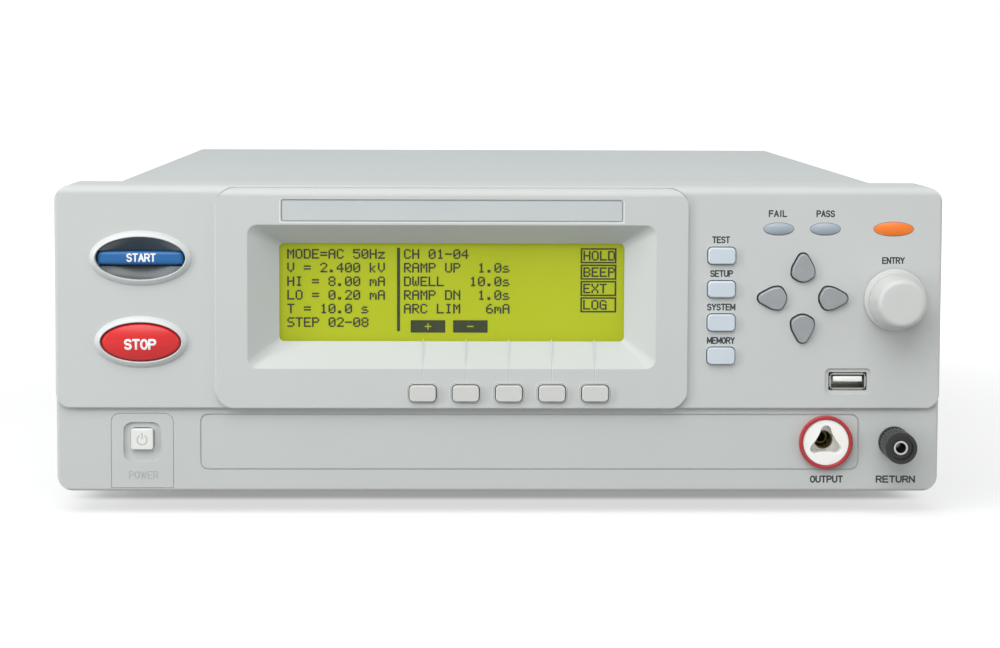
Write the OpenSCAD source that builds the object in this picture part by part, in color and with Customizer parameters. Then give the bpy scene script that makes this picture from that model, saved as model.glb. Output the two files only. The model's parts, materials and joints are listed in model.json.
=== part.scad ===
// Bench hipot tester: a shallow steel case behind a wider moulded front with a dot-matrix display,
// start and stop buttons, keys, a rotary knob, a shrouded high-voltage socket and a return terminal.
// X runs to the viewer's right, Y runs backwards into the case and Z points up.
// The origin is on the surface the feet stand on, under the middle of the whole outline.
// Pieces are drawn from the lower front panel: its face is y = 0 and the bezel's lower edge is z = 0.

/* [Front bezel] */
// Width of the bezel, the widest piece
bezel_w = 340; // [336:2:370]
// Height of the bezel
bezel_h = 118; // [117:1:124]
// Depth of the bezel, from the lower panel back to the case
bezel_d = 30; // [29:1:40]
// Wall of the bezel, also the thickness of its lower panel
bezel_wall = 3; // [2.6:0.1:3.6]
// Corner radius of the bezel seen from the front
bezel_r = 6.5; // [5:0.5:8]
// Rounding of the upright and lower front edges
edge_round = 1.2; // [0.6:0.1:1.6]
// Width of the upright ledges that the fascia lies on
ledge_w = 8; // [6:0.5:9]
// Height of the ledges above and below the fascia's opening
ledge_h = 5; // [4:0.5:6]

/* [Upper fascia] */
// Height of the fascia's lower edge
fascia_z = 32.4; // [31.8:0.2:33]
// Thickness of the fascia
fascia_t = 3.8; // [3.4:0.1:4.4]
// How far the fascia stands proud of the lower panel
fascia_proud = 1.8; // [1.2:0.1:2.2]
// Rounding of the top front edge of the fascia and of the display surround
top_round = 3.3; // [2:0.1:3.3]

/* [Display] */
// Distance of the raised display surround from the left side of the bezel
surround_left = 61.1; // [60:0.1:62]
// Distance of the display surround from the right side of the bezel
surround_right = 97.5; // [96.5:0.1:98.5]
// How far the surround stands proud of the fascia
surround_proud = 1.5; // [1:0.1:2]
// Width of the surround on each side of the window
window_side = 12.5; // [11.5:0.1:13.5]
// Distance of the window below the top of the bezel
window_drop = 14.9; // [14.5:0.1:15.5]
// Distance of the window above the lower edge of the fascia
window_rise = 15.5; // [15:0.1:16]
// Width of the window's slope on each side of the glass
slope_w = 12.8; // [11:0.1:14]
// Mean height of the window's slope above and below the glass
slope_h = 9.5; // [8:0.1:10]
// Depth of the window behind the surround's face
window_d = 9.8; // [9:0.1:11]
// Thickness of the clear window
lens_t = 1.5; // [1:0.1:2]
// Width of the surround on each side of the name strip
label_side = 25.55; // [24:0.05:30]
// Height of the name strip
label_h = 8.1; // [7:0.1:8.4]

/* [Start and stop] */
// Distance of both buttons from the left side of the bezel
left_inset = 32.8; // [31:0.2:35]
// Outer width of the start rim
start_w = 39.2; // [36:0.2:42]
// Outer height of the start rim
start_h = 21.5; // [20:0.1:23]
// Outer width of the stop rim
stop_w = 35.8; // [34:0.2:40]
// Outer height of the stop rim
stop_h = 19.9; // [19:0.1:22]
// Width of the band of both rims
rim_band = 2.4; // [2:0.1:2.8]
// Height of the blue start bar
start_bar_h = 5.4; // [5:0.1:6]
// Travel of the start and stop buttons
big_travel = 2; // [1.5:0.1:2.4]
// Force-free clearance around every moving button
button_gap = 0.35; // [0.3:0.05:0.45]

/* [Keys] */
// Width of a display key
softkey_w = 10.1; // [9.5:0.1:11.4]
// Height of a display key
softkey_h = 6.2; // [6:0.1:7.2]
// Distance between display keys
softkey_pitch = 16.55; // [15.5:0.05:17]
// Width of a function key
fkey_w = 10.5; // [9.5:0.1:11.4]
// Height of a function key
fkey_h = 6.4; // [6:0.1:7.4]
// Distance between function keys
fkey_pitch = 12.85; // [12:0.05:13]
// Width of a cursor key
arrow_w = 9.1; // [8.5:0.1:10]
// Length of a cursor key
arrow_h = 11.1; // [10.5:0.1:12]
// Distance of the cursor keys from the middle of their cross
arrow_ring = 11.8; // [11.5:0.1:12.3]
// Travel of a small key
key_travel = 1; // [0.6:0.1:1.2]
// How far a small key stands out at rest
key_proud = 1.7; // [1.3:0.1:2.2]

/* [Knob] */
// Diameter of the knob's skirt
knob_d = 23.8; // [22:0.2:25]
// Height of the knob above the fascia
knob_h = 18.2; // [16:0.2:20]
// Diameter of the encoder shaft
shaft_d = 6; // [5:0.5:7]

/* [Terminals] */
// Outer diameter of the red output ring
ring_d = 20.7; // [20:0.1:21]
// Diameter of the white output insulator
insulator_d = 17.6; // [17:0.1:18]
// Diameter of the deep round well in the insulator
well_d = 7.4; // [7:0.2:8.2]
// Diameter of the return terminal's cap and collar
cap_d = 12.2; // [11.6:0.2:13]
// Length of the return terminal's cap
cap_l = 13; // [12:0.5:15]
// Bore for a banana plug in the return terminal
plug_d = 4; // [3.9:0.1:4.2]
// Travel of the cap when it is unscrewed
cap_travel = 4; // [3:0.5:5]

/* [USB socket] */
// Width of the panel cut-out
usb_cut_w = 14.8; // [14.6:0.1:16]
// Height of the panel cut-out
usb_cut_h = 7.1; // [7:0.1:8]
// Room between the cut-out and the metal shell
usb_room = 0.7; // [0.6:0.05:0.8]

/* [Power button] */
// Width of the power button
power_w = 8.5; // [7.5:0.1:9.5]
// Height of the power button
power_h = 8.2; // [7.5:0.1:9]
// Width of the power plate
power_plate_w = 23.7; // [22:0.1:25]
// Travel of the power button
power_travel = 3; // [2:0.5:3.5]

/* [Case] */
// How far each side of the steel case lies inside the side of the bezel
case_inset = 16.4; // [14:0.2:20]
// Length of the steel case behind the bezel
case_l = 380; // [370:5:400]
// Thickness of the cover and tray sheet
sheet = 1.2; // [1:0.1:1.6]
// Thickness of the rear panel
rear_t = 2; // [1.5:0.1:2.5]
// Depth of the bezel's top above the cover
cover_drop = 1.5; // [1.2:0.1:2]
// Number of vent slots in each side
vent_count = 14; // [8:1:16]

/* [Feet] */
// Gap under the bezel when the tester stands
ground_gap = 9; // [8.5:0.5:12]
// Diameter of a foot
foot_d = 24; // [20:1:26]
// Diameter of the bail wire
bail_d = 4; // [3.5:0.1:4.2]
// Length of the bail arms
bail_l = 46; // [40:1:50]

/* [Fan] */
// Size of the square fan frame
fan_size = 80; // [78:1:82]
// Depth of the fan frame
fan_d = 25; // [20:1:28]
// Number of fan blades
blade_count = 7; // [5:1:9]

/* [Hidden] */
$fn = 48;
// Overrun of every cut, past the face it leaves through
over = 1;
// Seat clearance between a fixed piece and the hole that takes it
seat = 0.15;
// Clearance between pieces that are fixed beside each other
fit = 0.3;

// Distances from the right side of the bezel to what sits there
fkey_inset = 84.8;
arrow_inset = 53.5;
knob_inset = 18;
usb_inset = 35.6;
fail_inset = 63;
pass_inset = 45.1;
output_lamp_inset = 18.8;
socket_inset = 43.7;
return_inset = 17.1;
// Heights above the fascia's lower edge
softkey_rise = 6.05;
usb_rise = 10.6;
// Distance of the name strip below the bezel's top edge
label_drop = 9.35;
// Shares of the free height, below the stop button, above the start button and below the function keys
stop_rise_share = 0.3541;
start_drop_share = 0.3903;
fkey_rise_share = 0.4257;
// Share of the height between the cursor keys and the top that lies below the lamps
lamp_rise_share = 0.3611;
// The knob's axis lies a little below the middle of the fascia
knob_low = 0.5;
// Width and height of what is pressed, and of the openings it works in
start_rim_size = [start_w, start_h];
stop_rim_size = [stop_w, stop_h];
start_open = start_rim_size - [2, 2] * rim_band;
stop_open = stop_rim_size - [2, 2] * rim_band;
softkey_size = [softkey_w, softkey_h];
fkey_size = [fkey_w, fkey_h];
arrow_size = [arrow_w, arrow_h];
power_size = [power_w, power_h];
usb_cut = [usb_cut_w, usb_cut_h];
usb_shell = usb_cut - [2, 2] * usb_room;
// Height of the terminals and of the power button above the bezel's lower edge
terminal_z = 19.2;
power_z = 20.2;

half = bezel_w / 2;
fascia_y = -fascia_proud;
fascia_back = fascia_y + fascia_t;
fascia_h = bezel_h - fascia_z;
surround_y = fascia_y - surround_proud;
surround_w = bezel_w - surround_left - surround_right;
display_x = (surround_left - surround_right) / 2;
window_w = surround_w - 2 * window_side;
window_h = fascia_h - window_rise - window_drop;
glass_w = window_w - 2 * slope_w;
glass_h = window_h - 2 * slope_h;
label_w = surround_w - 2 * label_side;
window_z = fascia_z + window_rise + window_h / 2;
// The glass sits a little above the middle of the window
glass_lift = 1;
glass_z = window_z + glass_lift;
lens_y = surround_y + window_d;
left_x = -half + left_inset;
big_room = fascia_h - start_h - stop_h;
start_z = bezel_h - start_drop_share * big_room - start_h / 2;
stop_z = fascia_z + stop_rise_share * big_room + stop_h / 2;
fkey_x = half - fkey_inset;
arrow_x = half - arrow_inset;
arrow_z = fascia_z + fascia_h / 2;
arrow_top = arrow_z + arrow_ring + arrow_h / 2;
knob_x = half - knob_inset;
knob_z = arrow_z - knob_low;
usb_x = half - usb_inset;
usb_z = fascia_z + usb_rise;
lamp_z = arrow_top + lamp_rise_share * (bezel_h - arrow_top);
socket_x = half - socket_inset;
return_x = half - return_inset;

// Display keys are counted from the one in the middle, right of the display's centre line
softkey_shift = 21.9;
softkey_count = 5;
function softkey_x(i) = display_x + softkey_shift + (i - (softkey_count - 1) / 2) * softkey_pitch;
softkey_z = fascia_z + softkey_rise;
fkey_count = 4;
fkey_room = fascia_h - (fkey_count - 1) * fkey_pitch - fkey_h;
fkey_rise = fkey_h / 2 + fkey_rise_share * fkey_room;
function fkey_z(i) = fascia_z + fkey_rise + (fkey_count - 1 - i) * fkey_pitch;
// Directions of the cursor keys: up, down, left, right
arrow_angles = [0, 180, 90, 270];
function arrow_place(i) = [
    arrow_x - arrow_ring * sin(arrow_angles[i]), 0, arrow_z + arrow_ring * cos(arrow_angles[i])
];

// Keyboard behind the fascia, and the switches and lamps on it
board_t = 1.6;
board_y = 13;
board_margin = 11;
switch_w = 6;
switch_h = 3.4;
plunger_d = 3.2;
plunger_h = 0.9;
big_switch_h = 2.4;
contact_y = board_y - switch_h - plunger_h;
big_contact_y = board_y - big_switch_h - plunger_h;
key_r = 1.6;
flange_rim = 1.1;
flange_t = 1.2;
stem_d = 3;
// Lamp lenses: width and height of a result lamp and of the output lamp
result_lamp = [11.5, 4.6];
output_lamp_size = [15.2, 5.2];
lamp_dome = 1;
led_d = 3;
lamps = [
    [half - fail_inset, result_lamp],
    [half - pass_inset, result_lamp],
    [half - output_lamp_inset, output_lamp_size]
];

// Rims around the start and stop buttons
rim_proud = 1.9;
rim_edge = 0.9;
sleeve = 1.2;
sleeve_back = 1.5;
dish_depth = 4.2;
dish_back = 5.2;
stem_plate = [9, 3.2];
stop_dome = 2.2;

// Fascia posts that carry the keyboard
post_d = 6;
post_inset = 14.2;
post_drop = 9.2;
post_rise = 13;
post_places = [
    [-half + post_inset, bezel_h - post_drop],
    [half - post_inset, bezel_h - post_drop],
    [-half + post_inset, fascia_z + post_rise],
    [half - post_inset, fascia_z + post_rise]
];

// Case
case_w = bezel_w - 2 * case_inset;
case_y0 = bezel_d + sheet + fit;
case_y1 = bezel_d + case_l;
case_top = bezel_h - cover_drop;
case_z0 = 0.8;
floor_z = case_z0 + sheet;
inner_w = case_w - 2 * sheet;
tray_w = inner_w - 2 * seat;
rear_inset = 3;
rear_y1 = case_y1 - rear_inset;
rear_y0 = rear_y1 - rear_t;
rear_h = case_top - sheet - seat - floor_z;
case_r = 2.4;

// Overall reach, which places the origin
stud_l = 14;
rear_reach = stud_l - rear_inset;
front_reach = fascia_proud + knob_h;
front_y = -(case_y1 + rear_reach - front_reach) / 2;

// Flat shapes, drawn as seen from the front

module round_rect(w, h, r) {
    square([w - 2 * r, h], center = true);
    square([w, h - 2 * r], center = true);
    for (x = [-1, 1], z = [-1, 1])
        translate([x * (w / 2 - r), z * (h / 2 - r)]) circle(r);
}

module oval(size) {
    scale([size.x / size.y, 1]) circle(d = size.y);
}

// A cursor key points up: a narrow round tip over a broad round base
tip_share = 0.24;
base_share = 0.27;
heel_share = 0.48;
module arrow_shape(grow) {
    w = arrow_size.x;
    h = arrow_size.y;
    hull() {
        translate([0, h / 2 - w * tip_share]) circle(w * tip_share + grow, $fn = 32);
        for (x = [-1, 1])
            translate([x * w * (1 / 2 - base_share), -h * tip_share + w * (heel_share - base_share) / 4])
                circle(w * base_share + grow, $fn = 32);
        translate([0, -h / 2 + w * heel_share]) circle(w * heel_share + grow, $fn = 48);
    }
}

// A rounded triangle with slightly hollow sides and one lobe up, where each side's arc meets its two
// lobes smoothly
lobe_reach = 6.6;
lobe_r = 1.9;
lobe_waist = 3.8;
lobe_mid = lobe_reach - lobe_r;
lobe_cut_at = (lobe_mid ^ 2 - (lobe_waist - lobe_r) ^ 2) / (lobe_mid - 2 * (lobe_waist - lobe_r));
lobe_cut_r = lobe_cut_at - lobe_waist;
lobe_body_share = 0.36;
module lobe_shape() {
    for (a = [90, 210, 330]) rotate(a) translate([lobe_mid, 0]) circle(lobe_r + seat / 2);
    difference() {
        circle(lobe_mid + lobe_r * lobe_body_share);
        for (a = [30, 150, 270]) rotate(a) translate([lobe_cut_at, 0]) circle(lobe_cut_r);
    }
}

// Ways of giving a flat shape its depth

// Front view shape, t thick, from y0 backwards
module plate(y0, t) {
    translate([0, y0 + t, 0]) rotate([90, 0, 0]) linear_extrude(t) children();
}

// Side view shape drawn in Y and Z, w wide, centred on x = 0
module across(w) {
    translate([-w / 2, 0, 0]) rotate([90, 0, 90]) linear_extrude(w) children();
}

// Turned shape on the Y axis: radius and height, growing towards the viewer from y0
module turned(y0) {
    translate([0, y0, 0]) rotate([90, 0, 0]) rotate_extrude() children();
}

// A rod on the Y axis
module rod(y0, y1, d) {
    translate([0, y0, 0]) rotate([-90, 0, 0]) cylinder(d = d, h = y1 - y0);
}

// A block given by its near corner and size
module block(at, size) {
    translate(at) cube(size);
}

// A tube of eight sides along a list of points
function ring_turn(p, i) = let (
    a = p[max(i - 1, 0)],
    b = p[min(i + 1, len(p) - 1)]
) (b - a) / norm(b - a);
function ring_side(t) = let (
    s = abs(t.z) > 0.9 ? cross(t, [1, 0, 0]) : cross(t, [0, 0, 1])
) s / norm(s);
module tube(p, d) {
    sides = 8;
    rings = [
        for (i = [0 : len(p) - 1]) let (t = ring_turn(p, i), u = ring_side(t), v = cross(u, t))
            for (k = [0 : sides - 1])
                p[i] + d / 2 * (cos(360 * k / sides) * u + sin(360 * k / sides) * v)
    ];
    skin = [
        for (i = [0 : len(p) - 2], k = [0 : sides - 1]) let (n = (k + 1) % sides)
            [i * sides + k, i * sides + n, (i + 1) * sides + n, (i + 1) * sides + k]
    ];
    near_end = [for (k = [0 : sides - 1]) sides - 1 - k];
    far_end = [for (k = [0 : sides - 1]) (len(p) - 1) * sides + k];
    polyhedron(rings, concat(skin, [near_end, far_end]));
}

// A block whose front, at y0, is crowned both ways: size across and up, and how far the edges fall
module crowned(size, fall, y0, depth) {
    rx = (size.x * size.x / 4 + fall * fall) / (2 * fall);
    rz = (size.y * size.y / 4 + fall * fall) / (2 * fall);
    intersection() {
        translate([0, y0 + rx, 0]) cylinder(r = rx, h = size.y + 2 * over, center = true, $fn = 180);
        translate([0, y0 + rz, 0]) rotate([0, 90, 0])
            cylinder(r = rz, h = size.x + 2 * over, center = true, $fn = 180);
        plate(y0 - over, depth + over) square(size + [2, 2] * over, center = true);
    }
}

// A panel whose front edges are rounded: r_top above, r_low below and r_side at the sides
module soft_panel(w, h, r, y0, t, r_top, r_low, r_side) {
    intersection() {
        plate(y0, t) round_rect(w, h, r);
        across(w + 2 * over) soft_profile(-h / 2, h / 2, y0, t, r_low, r_top);
        translate([0, 0, -h / 2 - over]) linear_extrude(h + 2 * over) mirror([1, -1])
            soft_profile(-w / 2, w / 2, y0, t, r_side, r_side);
    }
}

// Outline of a panel's edge, from low to high, with its two front corners rounded
module soft_profile(low, high, y0, t, r_low, r_high) {
    translate([y0, low + r_low]) square([t, high - low - r_low - r_high]);
    for (e = [[low, r_low, 0], [high, r_high, 1]]) {
        translate([y0 + e[1], e[0] - e[2] * e[1]]) square([t - e[1], e[1]]);
        intersection() {
            translate([y0 + e[1], e[0] + (1 - 2 * e[2]) * e[1]]) circle(e[1]);
            translate([y0, e[0] - e[2] * e[1]]) square([2 * e[1], e[1]]);
        }
    }
}

// Front bezel and its panels

step_wall = 1.4;
groove_w = 0.5;
groove_d = 0.5;
strip_r = 3.2;
strip_left = 55;
strip_right = 30.8;
strip_h = 21.8;
power_plate_t = 2;
power_plate_h = 30.1;
power_plate_r = 3.3;
power_ledge = 1.5;
boss_d = 7;
boss_x = half - boss_d;
boss_z = [boss_d + bezel_wall, bezel_h - bezel_wall - boss_d];

module strip_shape(grow) {
    w = bezel_w - strip_left - strip_right;
    translate([(strip_left - strip_right) / 2, terminal_z])
        round_rect(w + 2 * grow, strip_h + 2 * grow, strip_r + grow);
}

module power_plate_shape(grow) {
    translate([left_x, power_plate_h / 2 - power_plate_r / 2])
        round_rect(power_plate_w + 2 * grow, power_plate_h + power_plate_r + 2 * grow, power_plate_r + grow);
}

module front_bezel() color("#c2c5c4") {
    inner_r = bezel_r - bezel_wall;
    difference() {
        translate([0, 0, bezel_h / 2])
            soft_panel(bezel_w, bezel_h, bezel_r, 0, bezel_d, edge_round, edge_round, edge_round);
        // Seat of the fascia
        translate([0, 0, fascia_z + fascia_h / 2]) plate(-over, fascia_back + over)
            round_rect(bezel_w + 2 * seat, fascia_h + 2 * seat, bezel_r);
        // Hollow behind the front plate, and the opening behind the fascia
        translate([0, 0, bezel_h / 2]) plate(fascia_back + bezel_wall, bezel_d)
            round_rect(bezel_w - 2 * bezel_wall, bezel_h - 2 * bezel_wall, inner_r);
        translate([0, 0, (fascia_z - step_wall + bezel_wall) / 2]) plate(bezel_wall, bezel_d)
            round_rect(bezel_w - 2 * bezel_wall, fascia_z - step_wall - bezel_wall, inner_r);
        translate([0, 0, fascia_z + fascia_h / 2]) plate(-over, bezel_d)
            square([bezel_w - 2 * ledge_w, fascia_h - 2 * ledge_h], center = true);
        // Room for the flanges of the display keys
        for (i = [0 : softkey_count - 1])
            translate([softkey_x(i), 0, softkey_z]) plate(fascia_back, bezel_wall + over)
                square(softkey_size + [2, 2] * (flange_rim + fit), center = true);
        // Engraved strip
        plate(-over, over + groove_d) difference() {
            strip_shape(0);
            strip_shape(-groove_w);
        }
        // Seat of the power plate, and the opening behind it
        plate(-over, over + power_plate_t + seat) intersection() {
            power_plate_shape(seat);
            translate([left_x - power_plate_w, edge_round]) square([2 * power_plate_w, fascia_z]);
        }
        translate([left_x, 0, power_z]) plate(-over, bezel_d)
            square([power_plate_w - 2 * power_ledge, power_plate_w - 4 * power_ledge], center = true);
        // Holes for the two terminals
        translate([socket_x, 0, terminal_z]) rod(-over, bezel_d, insulator_d + 2 * seat);
        translate([return_x, 0, terminal_z]) rod(-over, bezel_d, bushing_d + 2 * seat);
    }
    // Bosses that meet the chassis front
    for (x = [-1, 1], z = boss_z)
        translate([x * boss_x, 0, z]) rod(fascia_back, bezel_d, boss_d);
}

module upper_fascia() color("#c4c7c6") {
    mid_z = fascia_z + fascia_h / 2;
    difference() {
        translate([0, 0, mid_z])
            soft_panel(bezel_w, fascia_h, bezel_r, fascia_y, fascia_t, top_round, edge_round / 2, edge_round);
        // Display opening and display keys
        translate([display_x, 0, window_z]) through()
            square([window_w, window_h] + [2, 2] * (funnel_wall + seat), center = true);
        for (i = [0 : softkey_count - 1])
            translate([softkey_x(i), 0, softkey_z]) through() hole_shape(softkey_size);
        for (i = [0 : fkey_count - 1])
            translate([fkey_x, 0, fkey_z(i)]) through() hole_shape(fkey_size);
        for (i = [0 : len(arrow_angles) - 1])
            translate(arrow_place(i)) through() rotate(arrow_angles[i]) arrow_shape(button_gap);
        for (lamp = lamps)
            translate([lamp[0], 0, lamp_z]) through() oval(lamp[1] + [2, 2] * seat);
        translate([left_x, 0, start_z]) through() oval(start_open + [2, 2] * (sleeve + seat));
        translate([left_x, 0, stop_z]) through() oval(stop_open + [2, 2] * (sleeve + seat));
        // Encoder bushing
        translate([knob_x, 0, knob_z]) rod(fascia_y - over, fascia_back + over, thread_d + 2 * seat);
        // USB socket, with a shallow recess around it
        translate([usb_x, 0, usb_z]) through() round_rect(usb_cut.x, usb_cut.y, usb_cut_r);
        translate([usb_x, 0, usb_z]) plate(fascia_y - over, over + usb_recess_d)
            round_rect(usb_cut.x + 2 * usb_recess, usb_cut.y + 2 * usb_recess, usb_cut_r + usb_recess);
        // Seat of the surround's lip
        translate([display_x, 0, fascia_z + surround_h / 2]) plate(fascia_y - over, over + lip_d + seat)
            difference() {
                round_rect(surround_w + 2 * seat, surround_h + 2 * seat, surround_low_r + seat);
                translate([0, -lip_h - seat])
                    square([surround_w + 4 * seat, surround_h], center = true);
            }
    }
    for (p = post_places)
        translate([p.x, 0, p.y]) rod(fascia_back - over, board_y, post_d);
}

usb_cut_r = 0.4;
usb_recess = 1.5;
usb_recess_d = 0.7;

module through() {
    plate(fascia_y - over, fascia_t + 2 * over) children();
}

module hole_shape(size) {
    round_rect(size.x + 2 * button_gap, size.y + 2 * button_gap, key_r + button_gap);
}

funnel_wall = 2;
surround_low_r = 8;
surround_edge = 0.6;
surround_top_gap = 0.8;
surround_h = fascia_h - surround_top_gap;
lip_h = top_round + surround_edge;
lip_d = fascia_t - step_wall;
label_sink = 0.3;
label_t = 0.5;
label_r = 1;
window_r = 3.7;
glass_r = 1.7;

module display_surround() color("#c5c8c7") {
    difference() {
        union() {
            difference() {
                translate([display_x, 0, fascia_z + surround_h / 2]) soft_panel(
                    surround_w, surround_h, surround_low_r, surround_y, surround_proud + lip_d, top_round,
                    surround_edge, surround_edge
                );
                // Place of the fascia below the lip
                translate([display_x, 0, fascia_z + surround_h / 2 - lip_h]) plate(fascia_y, lip_d + over)
                    square([surround_w + 2 * over, surround_h], center = true);
            }
            translate([display_x, 0, window_z]) plate(surround_y + surround_edge, window_d - surround_edge)
                square([window_w + 2 * funnel_wall, window_h + 2 * funnel_wall], center = true);
        }
        // Sloped window
        hull() {
            translate([display_x, 0, window_z]) plate(surround_y - over, over)
                round_rect(window_w, window_h, window_r, $fn = 32);
            translate([display_x, 0, glass_z]) plate(lens_y, over)
                round_rect(glass_w, glass_h, glass_r, $fn = 32);
        }
        for (i = [0 : softkey_count - 1])
            translate([softkey_x(i), 0, softkey_z]) through_surround() hole_shape(softkey_size);
        label_place() plate(surround_y - over, over + label_sink + label_t)
            round_rect(label_w + 2 * seat, label_h + 2 * seat, label_r);
    }
}

module through_surround() {
    plate(surround_y - over, surround_proud + 2 * over) children();
}

module label_place() {
    translate([display_x, 0, bezel_h - label_drop]) children();
}

module label_plate() color("#b9c0c4") {
    label_place() plate(surround_y + label_sink, label_t) round_rect(label_w, label_h, label_r);
}

// The clear window is a little larger than the glass and lies behind the funnel
lens_rim = 6;
module lcd_window() color("#dfe6c0", 0.4) {
    translate([display_x, 0, glass_z]) plate(lens_y, lens_t)
        square([glass_w + 2 * lens_rim, glass_h + 2 * lens_rim], center = true);
}

frame_rim = [11.7, 6.3];
lcd_board_rim = [8, 6];
lcd_frame = [glass_w, glass_h] + 2 * frame_rim;
lcd_board = lcd_frame + 2 * lcd_board_rim;
lcd_y = lens_y + lens_t + fit;
lcd_back = board_y + board_t + fit;
module lcd_module() color("#a9b43c") {
    translate([display_x, 0, glass_z]) {
        plate(lcd_y, lcd_back - lcd_y) square(lcd_frame, center = true);
        plate(lcd_back, board_t) square(lcd_board, center = true);
    }
}

// Start and stop buttons

module rim(outer, open) {
    difference() {
        union() {
            hull() {
                plate(fascia_y - rim_edge, rim_edge) oval(outer);
                plate(fascia_y - rim_proud, rim_edge) oval((outer + open + [2, 2] * rim_edge) / 2);
            }
            plate(fascia_y - rim_edge, fascia_t + rim_edge + sleeve_back) oval(open + [2, 2] * sleeve);
        }
        plate(fascia_y - rim_proud - over, fascia_t + rim_proud + sleeve_back + 2 * over) oval(open);
    }
}

module start_rim() color("#e6eaea") {
    translate([left_x, 0, start_z]) rim(start_rim_size, start_open, $fn = 64);
}

module stop_rim() color("#e6eaea") {
    translate([left_x, 0, stop_z]) rim(stop_rim_size, stop_open, $fn = 64);
}

// A dark bowl behind the start bar, with a slot right across for the bar
module start_dish() color("#3d4448") {
    front = fascia_y - rim_edge;
    bowl = start_open - [2, 2] * seat;
    translate([left_x, 0, start_z]) difference() {
        plate(front, dish_back - front) oval(bowl);
        translate([0, front + dish_depth, 0]) mirror([0, 1, 0])
            crowned(bowl, dish_depth, 0, dish_depth + over);
        plate(front - over, over + dish_back - front - board_t)
            square([start_open.x, start_bar_h + 2 * button_gap], center = true);
        plate(0, dish_back + over) square(stem_plate + [2, 2] * button_gap, center = true);
    }
}

module start_button() color("#1f62ad") {
    face = fascia_y - rim_proud + edge_round;
    stop_y = big_contact_y - big_travel - fit;
    translate([left_x, 0, start_z]) {
        intersection() {
            plate(face, dish_back - board_t - big_travel - 2 * fit - face)
                oval(start_open - [2, 2] * (seat + button_gap));
            translate([0, face, 0]) plate(-over, bezel_d) square([start_open.x, start_bar_h], center = true);
            // The bar's face is gently crowned
            translate([0, face + start_open.y, 0]) rotate([0, 90, 0])
                cylinder(r = start_open.y, h = start_open.x, center = true, $fn = 180);
        }
        plate(0, stop_y) square(stem_plate, center = true);
        plate(dish_back + fit, flange_t) square(stem_plate + [2, 2] * flange_rim, center = true);
    }
}

module stop_button() color("#d2232a") {
    face = fascia_y - rim_proud + rim_edge;
    flange_y = fascia_back + sleeve_back + fit;
    stop_y = big_contact_y - big_travel - fit;
    cap = stop_open - [2, 2] * button_gap;
    translate([left_x, 0, stop_z]) {
        intersection() {
            plate(face - stop_dome, flange_y + flange_t - face + stop_dome) oval(cap);
            crowned(cap, stop_dome, face - stop_dome, bezel_d);
        }
        plate(flange_y, flange_t) oval(stop_open + [2, 2] * sleeve);
        plate(flange_y, stop_y - flange_y) square(stem_plate, center = true);
    }
}

// Lamps

module lamp_lens(i) {
    size = lamps[i][1];
    translate([lamps[i][0], 0, lamp_z]) {
        intersection() {
            plate(fascia_y - lamp_dome, fascia_t + lamp_dome) oval(size);
            crowned(size, lamp_dome, fascia_y - lamp_dome, bezel_d);
        }
        plate(fascia_back, flange_t) oval(size + [2, 2] * flange_rim);
    }
}

module fail_lamp() color("#9aa8b4") lamp_lens(0);
module pass_lamp() color("#9aa8b4") lamp_lens(1);
module output_lamp() color("#f08223") lamp_lens(2);

// Small keys: a cap through the panel, a flange behind it and a stem to its switch.
// The first child is the cap's outline and the second is the flange's.
module sprung_key(face_y) {
    flange_y = fascia_back + fit;
    stop_y = contact_y - key_travel - fit;
    plate(face_y - key_proud, flange_y + flange_t - face_y + key_proud) children(0);
    plate(flange_y, flange_t) children(1);
    rod(flange_y, stop_y, stem_d);
}

module softkey(i) color("#c8d2de") {
    translate([softkey_x(i), 0, softkey_z]) sprung_key(surround_y) {
        round_rect(softkey_size.x, softkey_size.y, key_r);
        round_rect(softkey_size.x + 2 * flange_rim, softkey_size.y + 2 * flange_rim, key_r);
    }
}

module fkey(i) color("#c3d0e0") {
    translate([fkey_x, 0, fkey_z(i)]) sprung_key(fascia_y) {
        round_rect(fkey_size.x, fkey_size.y, key_r);
        round_rect(fkey_size.x + 2 * flange_rim, fkey_size.y + 2 * flange_rim, key_r);
    }
}

module arrow_key(i) color("#a3a8aa") {
    translate(arrow_place(i)) sprung_key(fascia_y) {
        rotate(arrow_angles[i]) arrow_shape(0);
        rotate(arrow_angles[i]) arrow_shape(flange_rim);
    }
}

module softkey_1() softkey(0);
module softkey_2() softkey(1);
module softkey_3() softkey(2);
module softkey_4() softkey(3);
module softkey_5() softkey(4);
module test_key() fkey(0);
module setup_key() fkey(1);
module system_key() fkey(2);
module memory_key() fkey(3);
module up_key() arrow_key(0);
module down_key() arrow_key(1);
module left_key() arrow_key(2);
module right_key() arrow_key(3);

// Entry knob and its encoder

skirt_t = 1.6;
skirt_gap = 0.6;
grip_inset = 1.2;
grip_l = 6;
grip_taper = 1.3;
shoulder_r = 1.5;
grip_notches = 40;
notch_d = 0.7;
shaft_grip = 12;
thread_d = 9;
encoder_w = 13.5;
encoder_h = 6.5;
turn_gap = 0.1;
nut_room = 1.8;

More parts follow.
